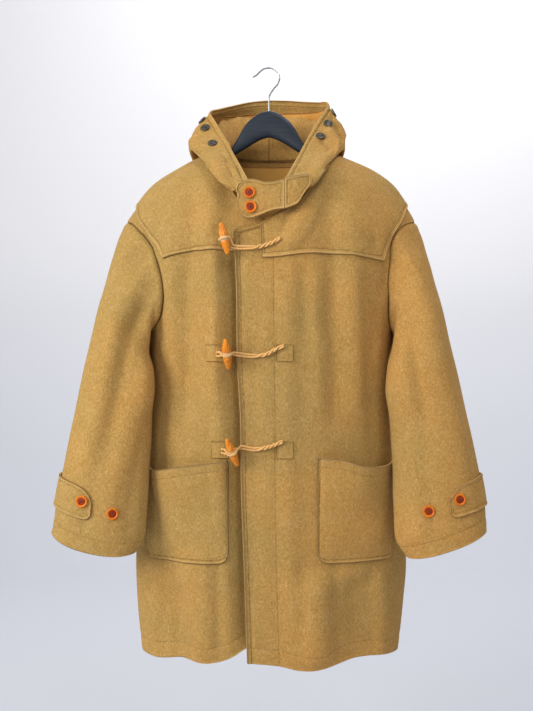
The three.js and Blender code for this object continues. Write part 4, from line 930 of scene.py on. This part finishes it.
# Hood: k runs from the middle of the back (0) to the throat (8), rows from the neck seam (0) to the rim (14)
HOOD_INNER = Table("k fold_x fold_y fold_z inside_x inside_y inside_z", [
    [0, 0, 76, -76, 0, 104, -180], [1, 38, 74, -75, 34, 103, -178], [2, 70, 64, -79, 68, 99, -172],
    [3, 94, 42, -92, 100, 88, -158], [4, 106, 4, -139, 128, 4, -148], [5, 90, -63, -178, 106, -65, -181],
    [6, 77, -97, -213, 87, -101, -215], [7, 63, -113, -241, 71, -117, -241],
    [8, 47, -118, -264, 52, -121, -260]])
HOOD_OUTER = Table("k bag_x bag_y bag_z roll_x roll_y roll_z rim_x rim_y rim_z", [
    [0, 0, 132, -286, 0, 152, -165, 0, 96, -32], [1, 38, 131, -281, 44, 149, -160, 31, 91, -36],
    [2, 78, 125, -262, 86, 138, -150, 63, 75, -46], [3, 116, 104, -222, 126, 104, -138, 95, 48, -61],
    [4, 150, 4, -157, 153, 10, -136, 113, 20, -75], [5, 124, -52, -180, 140, -32, -158, 98, -2, -106],
    [6, 98, -98, -214, 108, -78, -196, 79, -32, -143], [7, 81, -116, -240, 85, -106, -224, 60, -66, -183],
    [8, 57, -123, -253, 55, -122, -243, 38, -113, -231]])
HOOD_LEFT_SHIFT = Table("k rim_x rim_z roll_x bag_x", [
    [0, 0, 0, 0, 0], [1, 0, 2, 0, 0], [2, 0, 6, 0, 0], [3, 0, 12, -2, -4], [4, 1, 16, -8, -8],
    [5, -6, 8, -8, -6], [6, -9, 2, -6, -4], [7, -12, -4, -6, -4], [8, -9, 2, -6, -4]])
# side (0 both), k1, row1, k2, row2, width, height
HOOD_CREASES = [
    [0, 0.6, 1, 0.7, 3.6, 9, 2], [0, 1.6, 0.8, 1.7, 3.6, 9, -2], [0, 2.6, 0.8, 2.4, 3.4, 9, 2.2],
    [-1, 5.2, 8.4, 6.6, 10.6, 9, -3], [-1, 4.6, 8.6, 5.4, 11, 9, 2.4], [-1, 6.2, 9, 7.4, 12.2, 8, 2.6],
    [-1, 6.8, 8.6, 7.6, 11.2, 6, -2.6], [-1, 4, 8.4, 4.3, 10.6, 9, -2.6],
    [1, 4.6, 8.6, 4.4, 12.4, 8, -3.6], [1, 5, 8.6, 4.9, 12, 8, 3.4], [1, 5.4, 8.4, 5.5, 11.6, 7, -3.2],
    [1, 6, 8.6, 6.6, 11.6, 9, 2.4], [1, 6.8, 8.8, 7.4, 12, 8, -2.4], [1, 4, 8.4, 4, 11, 8, 2.6],
    [0, 1.2, 8.6, 1, 12.4, 14, 2.6], [0, 2.4, 8.4, 2.2, 12.2, 14, -2.6], [0, 3.2, 8.2, 3, 12, 12, 2.4]]
HOOD_K, HOOD_R, HOOD_ROWS, K_WIDTH = 150, 170, 14, 42


def hood_grid(side):
    name = "front_right" if side < 0 else "front_left"
    k = np.linspace(0, 8, HOOD_K)
    seam, beyond = np.empty((HOOD_K, 3)), np.empty((HOOD_K, 3))
    at_back = k <= 4
    for use, panel, s in ((at_back, "back", (8 - side * k[at_back]) / BACK_COLUMNS),
                          (~at_back, name, (7 - (k[~at_back] - 4)) / FRONT_COLUMNS)):
        order = np.argsort(s)
        places = NETS[panel][1](s[order], np.array([0.8, 1.0]))
        points = surface(places, DRAWN[panel])
        seam[np.where(use)[0][order]] = points[1]
        beyond[np.where(use)[0][order]] = unit(points[1] - points[0])
    flat = bell(k - 4, 0.35)[:, None]
    beyond = unit(beyond * (1 - flat * np.array([0, 1, 0])))
    seam = seam + beyond * 1.9
    inner, outer, shift = HOOD_INNER(k), HOOD_OUTER(k), HOOD_LEFT_SHIFT(k)
    own = 1 if side > 0 else 0

    def stop(of, name):
        x, z = (shift.get(f"{name}_{axis}", 0) if of is outer else 0 for axis in "xz")
        return vec(side * (of[name + "_x"] + own * x), of[name + "_y"], of[name + "_z"] + own * z)
    off_seam = seam + beyond * 7 + np.array([0, 0, 4])
    stops = np.stack([seam, off_seam, stop(inner, "fold"), stop(inner, "inside"), stop(outer, "bag"),
                      stop(outer, "roll"), stop(outer, "rim")], 1)
    share = np.linspace(0, 1, HOOD_R)
    points = np.stack([resample(line, HOOD_R) for line in stops])
    points[0, :, 0] = side * 0.2
    normals = grid_normals(points)
    # The outside of the bag faces back and down
    if normals[10, int(HOOD_R * 0.86), 1] < 0:
        normals = -normals
    normals[0, :, 0] = 0
    normals = unit(normals)
    kk, rr = k[:, None], share[None] * HOOD_ROWS
    height = 1.5 * ridges(kk, rr, HOOD_CREASES, side, 0.2, K_WIDTH)
    height = height + 0.7 * np.sin(kk * 3.1 + rr * 0.9) * np.sin(rr * 1.3 - kk)
    height = height * ease(rr / 1.2) * ease(kk / 0.4)
    return raised(points, normals, height), normals


HOOD = {side: hood_grid(side) for word, side in SIDES}


def build_hood():
    for word, side in SIDES:
        points, normals = HOOD[side]
        normals = turned(grid_normals(points), normals)
        normals[0, :, 0] = 0
        normals = unit(normals)
        over, from_centre = lengths(points, 1), lengths(points, 0)
        from_rim = over[:, -1:] - over
        points = raised(points, normals, 1.1 * bell(from_rim - 4, 4) - 1.0 * bell(from_rim - HOOD_ROW, 3)
                        - 1.2 * bell(from_centre, 4))
        cloth("cloth_hood_" + word, "hood_" + word, points, normals, 0, "folded", ["back"],
              row_a=from_rim - HOOD_ROW, row_b=from_centre - 7 + FAR * (over < 90),
              rim=np.minimum(from_rim, from_centre[-1:] - from_centre),
              seam=np.minimum(from_centre + FAR * (over < 110), over))
        # Lining of the bag, from behind the fold to the band along the rim
        lined = slice(0, int(HOOD_K * 3.4 / 8)), slice(int(HOOD_R * 4 / 14), int(HOOD_R * 13.5 / 14))
        cloth("lining_hood_" + word, "hood_lining_" + word, points[lined], normals[lined], -CLOTH - 0.5,
              "folded", ["hood_" + word], 0.8, "lining")


# Trim
def frame_of(axis):
    axis = unit(np.asarray(axis, float))
    helper = np.array([0, 0, 1.0]) if abs(axis[2]) < 0.9 else np.array([1.0, 0, 0])
    u = unit(np.cross(helper, axis))
    return u, np.cross(axis, u), axis


def full_turn(count):
    return np.linspace(0, 2 * math.pi, count, endpoint=False)


def round_about(u, w, phi):
    """Directions at angles phi in the plane of u and w."""
    return np.cos(phi)[..., None] * u + np.sin(phi)[..., None] * w


def ring_faces(rings, sides, closed=False):
    """Faces of a row of rings of vertices, with its ends shut unless it runs round."""
    faces = []
    for j in range(rings if closed else rings - 1):
        k = (j + 1) % rings
        for i in range(sides):
            n = (i + 1) % sides
            faces.append([j * sides + i, j * sides + n, k * sides + n, k * sides + i])
    if not closed:
        faces += [list(range(sides))[::-1], [(rings - 1) * sides + i for i in range(sides)]]
    return faces


def lathe(profile, place, axis, sides=40, warp=None):
    """Vertices and faces of a profile of (radius, height) turned about an axis."""
    u, w, a = frame_of(axis)
    phi = full_turn(sides)
    profile = np.asarray(profile, float)
    radius, height = (np.repeat(profile[:, i][:, None], sides, 1) for i in (0, 1))
    if warp is not None:
        radius = warp(radius, height, phi[None])
    vertices = np.asarray(place, float) + radius[..., None] * round_about(u, w, phi)[None]
    vertices = vertices + height[..., None] * a
    return vertices.reshape(-1, 3), ring_faces(len(profile), sides)


def carried(path, closed=False):
    """Two directions across a path at each point, carried along it without a twist."""
    if closed:
        tangent = unit(np.roll(path, -1, 0) - np.roll(path, 1, 0))
    else:
        tangent = unit(np.gradient(path, axis=0))
    u = np.empty_like(path)
    u[0] = frame_of(tangent[0])[0]
    for i in range(1, len(path)):
        u[i] = unit(u[i - 1] - tangent[i] * np.dot(u[i - 1], tangent[i]))
    return u, np.cross(tangent, u)


def tube(path, radius, sides, closed=False):
    """Vertices and faces of a round tube along a fine path, with narrowed ends."""
    path = np.asarray(path, float)
    u, w = carried(path, closed)
    radii = np.full(len(path), float(radius))
    if not closed:
        radii[0] = radii[-1] = radius * 0.45
    rings = path[:, None] + radii[:, None, None] * round_about(u[:, None], w[:, None], full_turn(sides)[None])
    return rings.reshape(-1, 3), ring_faces(len(path), sides, closed)


def joined(name, parts):
    """One object of several (vertices, faces, material) parts."""
    vertices, faces, index, materials = [], [], [], []
    total = 0
    for part_vertices, part_faces, material in parts:
        if material not in materials:
            materials.append(material)
        vertices.append(part_vertices)
        faces += [[i + total for i in face] for face in part_faces]
        index += [materials.index(material)] * len(part_faces)
        total += len(part_vertices)
    return to_mesh(name, np.concatenate(vertices), faces, materials, index)


def trim(thing, node):
    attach(thing, "root")
    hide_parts(node)


def button(node, place, axis):
    """A dished button with a raised rim, and crossed threads over its holes."""
    rim = [
        [8.4, 0], [9.6, 0.5], [10.35, 1.5], [10.5, 2.4], [10.2, 3.3], [9.5, 3.9], [8.7, 4], [8, 3.7],
        [7.3, 3], [6.8, 2.4], [0.3, 2.2]]
    dish = [[6.7, 1.6], [6.85, 2.3], [6.5, 2.55], [4, 2.5], [2, 2.45], [0.3, 2.45]]
    # The rim takes the lighter horn, a painted highlight.
    parts = [lathe(rim, place, axis, 44) + (BUTTON_RIM_LIT,), lathe(dish, place, axis, 44) + (BUTTON_HORN,)]
    u, w, a = frame_of(axis)
    for along, side in ((u, w), (w, u)):
        for off in (-1.5, 1.5):
            ends = [place + a * h + along * r + side * off
                    for r, h in ((-2.1, 2.3), (-1.2, 2.9), (1.2, 2.9), (2.1, 2.3))]
            parts.append(tube(resample(ends, 8), 0.55, 6) + (DARK_THREAD,))
    trim(joined("trim_" + node, parts), node)


TOGGLE = {"length": 58, "radius": 7.4, "waist": 6.4}
CORD_RADIUS, CORD_SPREAD, PLY_PITCH = 1.8, 2.4, 8.5
PATCH = {"width": 28, "height": 29, "thickness": 2}
FASTENINGS = [
    {"name": "top", "toggle": (-79, -338), "lean": 13, "tilt": 0, "bend": (0.0, 0.8),
     "sewn": 1, "patches": [],
     "route": [(-67, -340), (-60, -352), (-40, -353), (-15, -351), (4, -345), (20, -336)]},
    {"name": "middle", "toggle": (-74, -541), "lean": 6, "tilt": 28, "bend": (-0.8, 0.3), "sewn": 5,
     "patches": [("right", -95), ("left", 27)],
     "route": [(-65, -536), (-57, -541), (-25, -544), (-5, -541), (12, -532), (26, -526)]},
    {"name": "bottom", "toggle": (-65, -713), "lean": 20, "tilt": 28, "bend": (-0.8, 0.3), "sewn": 5,
     "patches": [("right", -88), ("left", 27)],
     "route": [(-56, -711), (-46, -706), (-26, -709), (-6, -706), (10, -701), (24, -695)]},
]


def front_depth(x, z, creased=True):
    return float(body(angle_at(x, z), z, creased)[1])


def plied(path):
    """A cord of two plies twisted about its path."""
    path = resample(path, max(24, int(run_of(path)[-1] / 1.1)))
    u, w = carried(path)
    turn = 2 * math.pi * run_of(path) / PLY_PITCH
    lines = [path + CORD_RADIUS * 0.5 * round_about(u, w, turn + start) for start in (0, math.pi)]
    return [tube(line, CORD_RADIUS * 0.68, 8) + (CORD_YARN,) for line in lines]


def build_fastening(name, toggle, lean, tilt, bend, sewn, patches, route):
    x, z = toggle
    waist, radius, length = TOGGLE["waist"], TOGGLE["radius"], TOGGLE["length"]
    yoke_layer = LAYER if name == "top" else 0
    y = front_depth(x, z, False) - yoke_layer - radius - 7 - (9 if tilt else 0)
    place = np.array([x, y, z], float)
    axis = unit(np.array([math.sin(lean * DEG), math.sin(tilt * DEG), -math.cos(lean * DEG)]))
    half = length / 2
    stops = [(0.4, -half), (2.4, -half + 0.8), (3.4, -half + 3), (5.0, -half * 0.68), (6.6, -half * 0.44),
             (7.4, -half * 0.24), (7.0, -half * 0.13), (6.4, -half * 0.06), (6.3, 0), (6.4, half * 0.06),
             (7.1, half * 0.13), (7.5, half * 0.24), (6.9, half * 0.44), (5.5, half * 0.68),
             (4.0, half - 3), (3.0, half - 0.8), (0.5, half)]
    profile = smooth(np.arange(len(stops)), np.array(stops), np.linspace(0, len(stops) - 1, 70))

    def grooved(r, h, phi):
        grooves = 0.05 * np.cos(9 * phi + 0.6 * np.sin(h / 7)) * ease(-h / 9) * ease((half - 1 + h) / 5)
        return r * (1 + grooves + 0.02 * np.sin(2 * phi + h / 9))
    side = np.array([math.cos(lean * DEG), 0, math.sin(lean * DEG)])
    forward = unit(np.cross(side, axis))
    parts = [lathe(profile, place, axis, 48, grooved) + (HORN,)]
    for rise in (-3.4, -2.2, 2.2, 3.4):
        ring = place + axis * rise + (waist + 0.5) * round_about(side, forward, full_turn(28))
        parts.append(tube(ring, 0.62, 6, closed=True) + (THREAD,))
    trim(joined("trim_toggle_" + name, parts), "toggle_" + name)

    seat = LAYER + FRONT_YOKE_LIFT + 0.3 if name == "top" else PATCH["thickness"] + 1
    lift = seat + CORD_RADIUS + 0.9
    ring_radius = waist + CORD_RADIUS + 0.75
    middle = resample([(px, front_depth(px, pz) - lift, pz) for px, pz in route[1:]], 60)
    run = np.linspace(0, 1, 60)
    twist = 2 * math.pi * 2.2 * ease((run - 0.3) / 0.75)
    spread = mix(CORD_SPREAD, 2.0, ease(run / 0.4))
    swing = (np.cos(twist) * spread)[:, None] * np.array([0, 0, 1.0])
    swing = swing + ((np.sin(twist) * spread) - 0.9 * ease(run / 0.2))[:, None] * np.array([0, 1.0, 0])
    upper, lower = middle + swing, middle - swing + np.array([0, -1.8, 0]) * ease(run / 0.2)[:, None]
    around = place + ring_radius * round_about(side, forward, np.arange(0, -241, -60) * DEG)
    path = np.concatenate([upper[::-1], around, lower])
    trim(joined("cord_loop_" + name, plied(path)), "loop_" + name)

    beside = place + np.array([bend[0], bend[1], 0]) * (ring_radius + 2 * CORD_RADIUS + 0.4)
    end = beside[0] - sewn
    flat = front_depth(end, z, False) + float(under_lap(end, z)) - seat - CORD_RADIUS - 0.4

    def leg(shift):
        return [(end - 5, flat + 0.3, z + shift), (end, flat, z + shift),
                (mix(end, beside[0], 0.4), mix(flat, beside[1], 0.5), z + shift),
                (beside[0] - 1, beside[1] + 1, z + shift * 0.8)]
    bend_path = leg(CORD_SPREAD + 1) + [tuple(beside)] + leg(-CORD_SPREAD - 1)[::-1]
    trim(joined("cord_toggle_" + name, plied(bend_path)), "toggle_cord_" + name)

    for side_name, centre in patches:
        px = np.linspace(centre - PATCH["width"] / 2, centre + PATCH["width"] / 2, 16)[None]
        pz = z + 2 + np.linspace(-0.5, 0.5, 16)[:, None] * PATCH["height"]
        px, pz = np.broadcast_arrays(px, pz)
        places = np.stack([angle_at(px, pz), pz], -1)
        points = surface(places, under_lap if side_name == "right" else None)
        trim_sheet(f"patch_{name}_{side_name}", points, outward(points), PATCH["thickness"] + 0.35,
                   "front_" + side_name, PATCH["thickness"], 4.5, 0.05, True)


def build_throat():
    depth = Table("x y", [[-56, -126], [-20, -130], [20, -132], [50, -131], [75, -123]])
    low = Table("x z", [
        [-56, -270], [-54, -283], [-50, -293], [-43, -300], [-33, -301], [-19, -297], [5, -288],
        [24, -285]])
    high = Table("x z", [
        [-56, -256], [-54, -247], [-50, -241], [-43, -236], [-33, -234], [-4, -240], [12, -238],
        [30, -233]])
    anchor_low = Table("x z", [[27, -285], [38, -281], [51, -274], [62, -257], [74, -241]])
    anchor_high = Table("x z", [[27, -232], [38, -230], [51, -227], [62, -225], [74, -224]])
    for node, ends, bottom, top, rests in (("throat_tab", (-56, 26.4), low, high, "throat_anchor"),
                                           ("throat_anchor", (27, 74), anchor_low, anchor_high, "hood_left")):
        crowding = 1.5 if node == "throat_tab" else 1
        across_x = ends[0] + (ends[1] - ends[0]) * np.linspace(0, 1, 44) ** crowding
        x = across_x[None] * np.ones((24, 1))
        z = mix(bottom(across_x)["z"][None], top(across_x)["z"][None], np.linspace(0, 1, 24)[:, None])
        sag = 1.2 * np.sin(x / 14 + z / 19)
        points = vec(x, depth(x)["y"] + sag * 0.5, z)
        normals = turned(grid_normals(points), np.array([0, -1, 0]))
        trim_sheet(node, points, normals, 0.4, rests, CLOTH + 0.4, puff=1.1)
    for i, (x, z) in enumerate(((-35, -257), (-32.5, -282.5))):
        y = float(depth(x)["y"]) - 1.2
        button(f"throat_button_{i + 1}", np.array([x, y, z], float), np.array([0, -1.0, 0]))


def build_snaps():
    spots = (("right", -1, ((5.6, 11.6), (4.72, 12.2), (4.05, 12.4))),
             ("left", 1, ((5.46, 12.1), (4.75, 12.3), (4.02, 12.5))))
    profile = [
        [8.2, -0.6], [9, 0.1], [9.2, 0.9], [8.8, 1.7], [7.9, 2.3], [6.9, 2.4], [6, 2], [5.5, 1.3],
        [4.8, 1.2], [4.3, 1.7], [3, 2], [1.4, 1.9], [0.3, 1.8]]
    for word, side, places in spots:
        points, normals = HOOD[side]
        for n, (k, row) in enumerate(places):
            spot = int(k / 8 * (HOOD_K - 1)), int(row / HOOD_ROWS * (HOOD_R - 1))
            part = lathe(profile, points[spot] + normals[spot] * 0.7, normals[spot]) + (GUNMETAL,)
            node = f"snap_{word}_{n + 1}"
            trim(joined("trim_" + node, [part]), node)


def build_hanger():
    bar = Table("x top bottom", [
        [0, -79, -129], [14, -82, -133], [28, -90, -140], [44, -105, -150], [60, -132, -160],
        [75, -157, -171], [95, -171, -187], [140, -188, -207], [180, -210, -231], [214, -234, -252]])
    x = np.linspace(-214, 214, 150)
    row = bar(np.abs(x))
    tip = np.where(np.abs(x) > 200, np.sqrt(np.clip(1 - ((np.abs(x) - 200) / 15.5) ** 2, 0.06, 1)), 1)
    sides = 36
    phi = full_turn(sides)[None]

    def square(value):
        return np.sign(value) * np.abs(value) ** 0.6
    middle, half = (row["top"] + row["bottom"]) / 2, (row["top"] - row["bottom"]) / 2 * tip
    rings = vec(x[:, None], 7.4 * tip[:, None] * square(np.cos(phi)),
                middle[:, None] + half[:, None] * square(np.sin(phi)))
    faces = [face[:1] + face[:0:-1] for face in ring_faces(len(x), sides)]
    trim(to_mesh("hanger_bar", rings.reshape(-1, 3), faces, [DARK_WOOD]), "hanger_body")
    route = [
        [0, -78.7], [0, -60], [1, -50], [8, -38], [17, -27], [20, -17], [17, -7], [10, 0], [0, 3],
        [-10, 1], [-18, -5], [-24, -11], [-31, -15]]
    path = resample([(a, 0, b) for a, b in route], 120)
    ferrule = lathe([(3.4, 0), (3.6, 0.8), (3.2, 1.8), (1.7, 2.3)], (0, 0, -79.6), (0, 0, 1), 24)
    parts = [tube(path, 1.6, 14) + (STEEL,), ferrule + (STEEL,)]
    trim(joined("hanger_wire_hook", parts), "hanger_hook")


# Floor, light and camera
def build_stage():
    """A floor that curves up into a wall behind the coat."""
    half_width, floor_z, curve_y, radius = 9000, -1500, 2200, 1200
    bend = [(curve_y + radius * math.sin(a), floor_z + radius - radius * math.cos(a))
            for a in np.linspace(0, math.pi / 2, 16)]
    profile = [(-half_width, floor_z)] + bend + [(curve_y + radius, 6000)]
    vertices = [(x, y, z) for y, z in profile for x in (-half_width, half_width)]
    faces = [[2 * i, 2 * i + 1, 2 * i + 3, 2 * i + 2] for i in range(len(profile) - 1)]
    m = Nodes("pale_studio")
    # Painted shade: the backdrop is coloured darker towards the floor.
    low = m.remap(m.axis("Z"), -1.5, 0.3, 1.0, 0.0)
    material = m.finish(m.blend(low, rgb(238, 238, 241), rgb(206, 209, 218)), 0.95)
    to_mesh("studio_floor", vertices, faces, [material])


def area_light(name, place, aim, size, power, colour):
    light = bpy.data.lights.new(name, "AREA")
    light.shape = "RECTANGLE"
    light.size, light.size_y = size
    light.energy = power
    light.color = colour
    thing = bpy.data.objects.new(name, light)
    bpy.context.scene.collection.objects.link(thing)
    thing.location = place
    turn = np.stack(frame_of(np.array(place) - np.array(aim)), 1)
    thing.rotation_euler = Matrix(turn.tolist()).to_euler()
    thing.visible_camera = False


def build_light_and_camera():
    world = bpy.data.worlds.new("soft_day")
    world.use_nodes = True
    background = world.node_tree.nodes["Background"]
    background.inputs["Color"].default_value = (0.94, 0.96, 1.0, 1)
    background.inputs["Strength"].default_value = 0.48
    bpy.context.scene.view_settings.view_transform = "Standard"
    bpy.context.scene.world = world
    area_light("window", (-1.9, -1.45, 0.1), (-0.1, 0, -0.6), (1.0, 1.0), 45, (1.0, 0.97, 0.91))
    area_light("front", (-0.7, -2.4, 0.2), (-0.1, 0, -0.5), (0.7, 0.7), 12, (1.0, 0.97, 0.91))
    area_light("ceiling", (0.7, -1.0, 1.3), (0.1, 0, -0.3), (0.7, 0.7), 12, (1.0, 0.98, 0.94))
    area_light("wall_wash", (0.8, 1.4, 2.6), (0.3, 3.4, -0.2), (3.0, 1.2), 74, (1.0, 0.98, 0.95))
    camera = bpy.data.cameras.new("camera")
    camera.sensor_fit = "VERTICAL"
    picture_height, focal_length = 711, 894.7
    camera.angle = 2 * math.atan(picture_height / 2 / focal_length)
    camera.clip_start, camera.clip_end = 0.05, 30
    thing = bpy.data.objects.new("camera", camera)
    bpy.context.scene.collection.objects.link(thing)
    thing.location = (-0.00475, -1.7, -0.5434)
    thing.rotation_euler = (math.pi / 2, 0, 0)
    bpy.context.scene.camera = thing


build_light_and_camera()
build_stage()
build_fronts()
build_back()
build_yokes()
build_sleeves()
build_cuffs()
build_pockets()
build_hood()
build_throat()
for fastening in FASTENINGS:
    build_fastening(**fastening)
build_snaps()
build_hanger()
for cut in CUTS:
    print("cut", *cut)
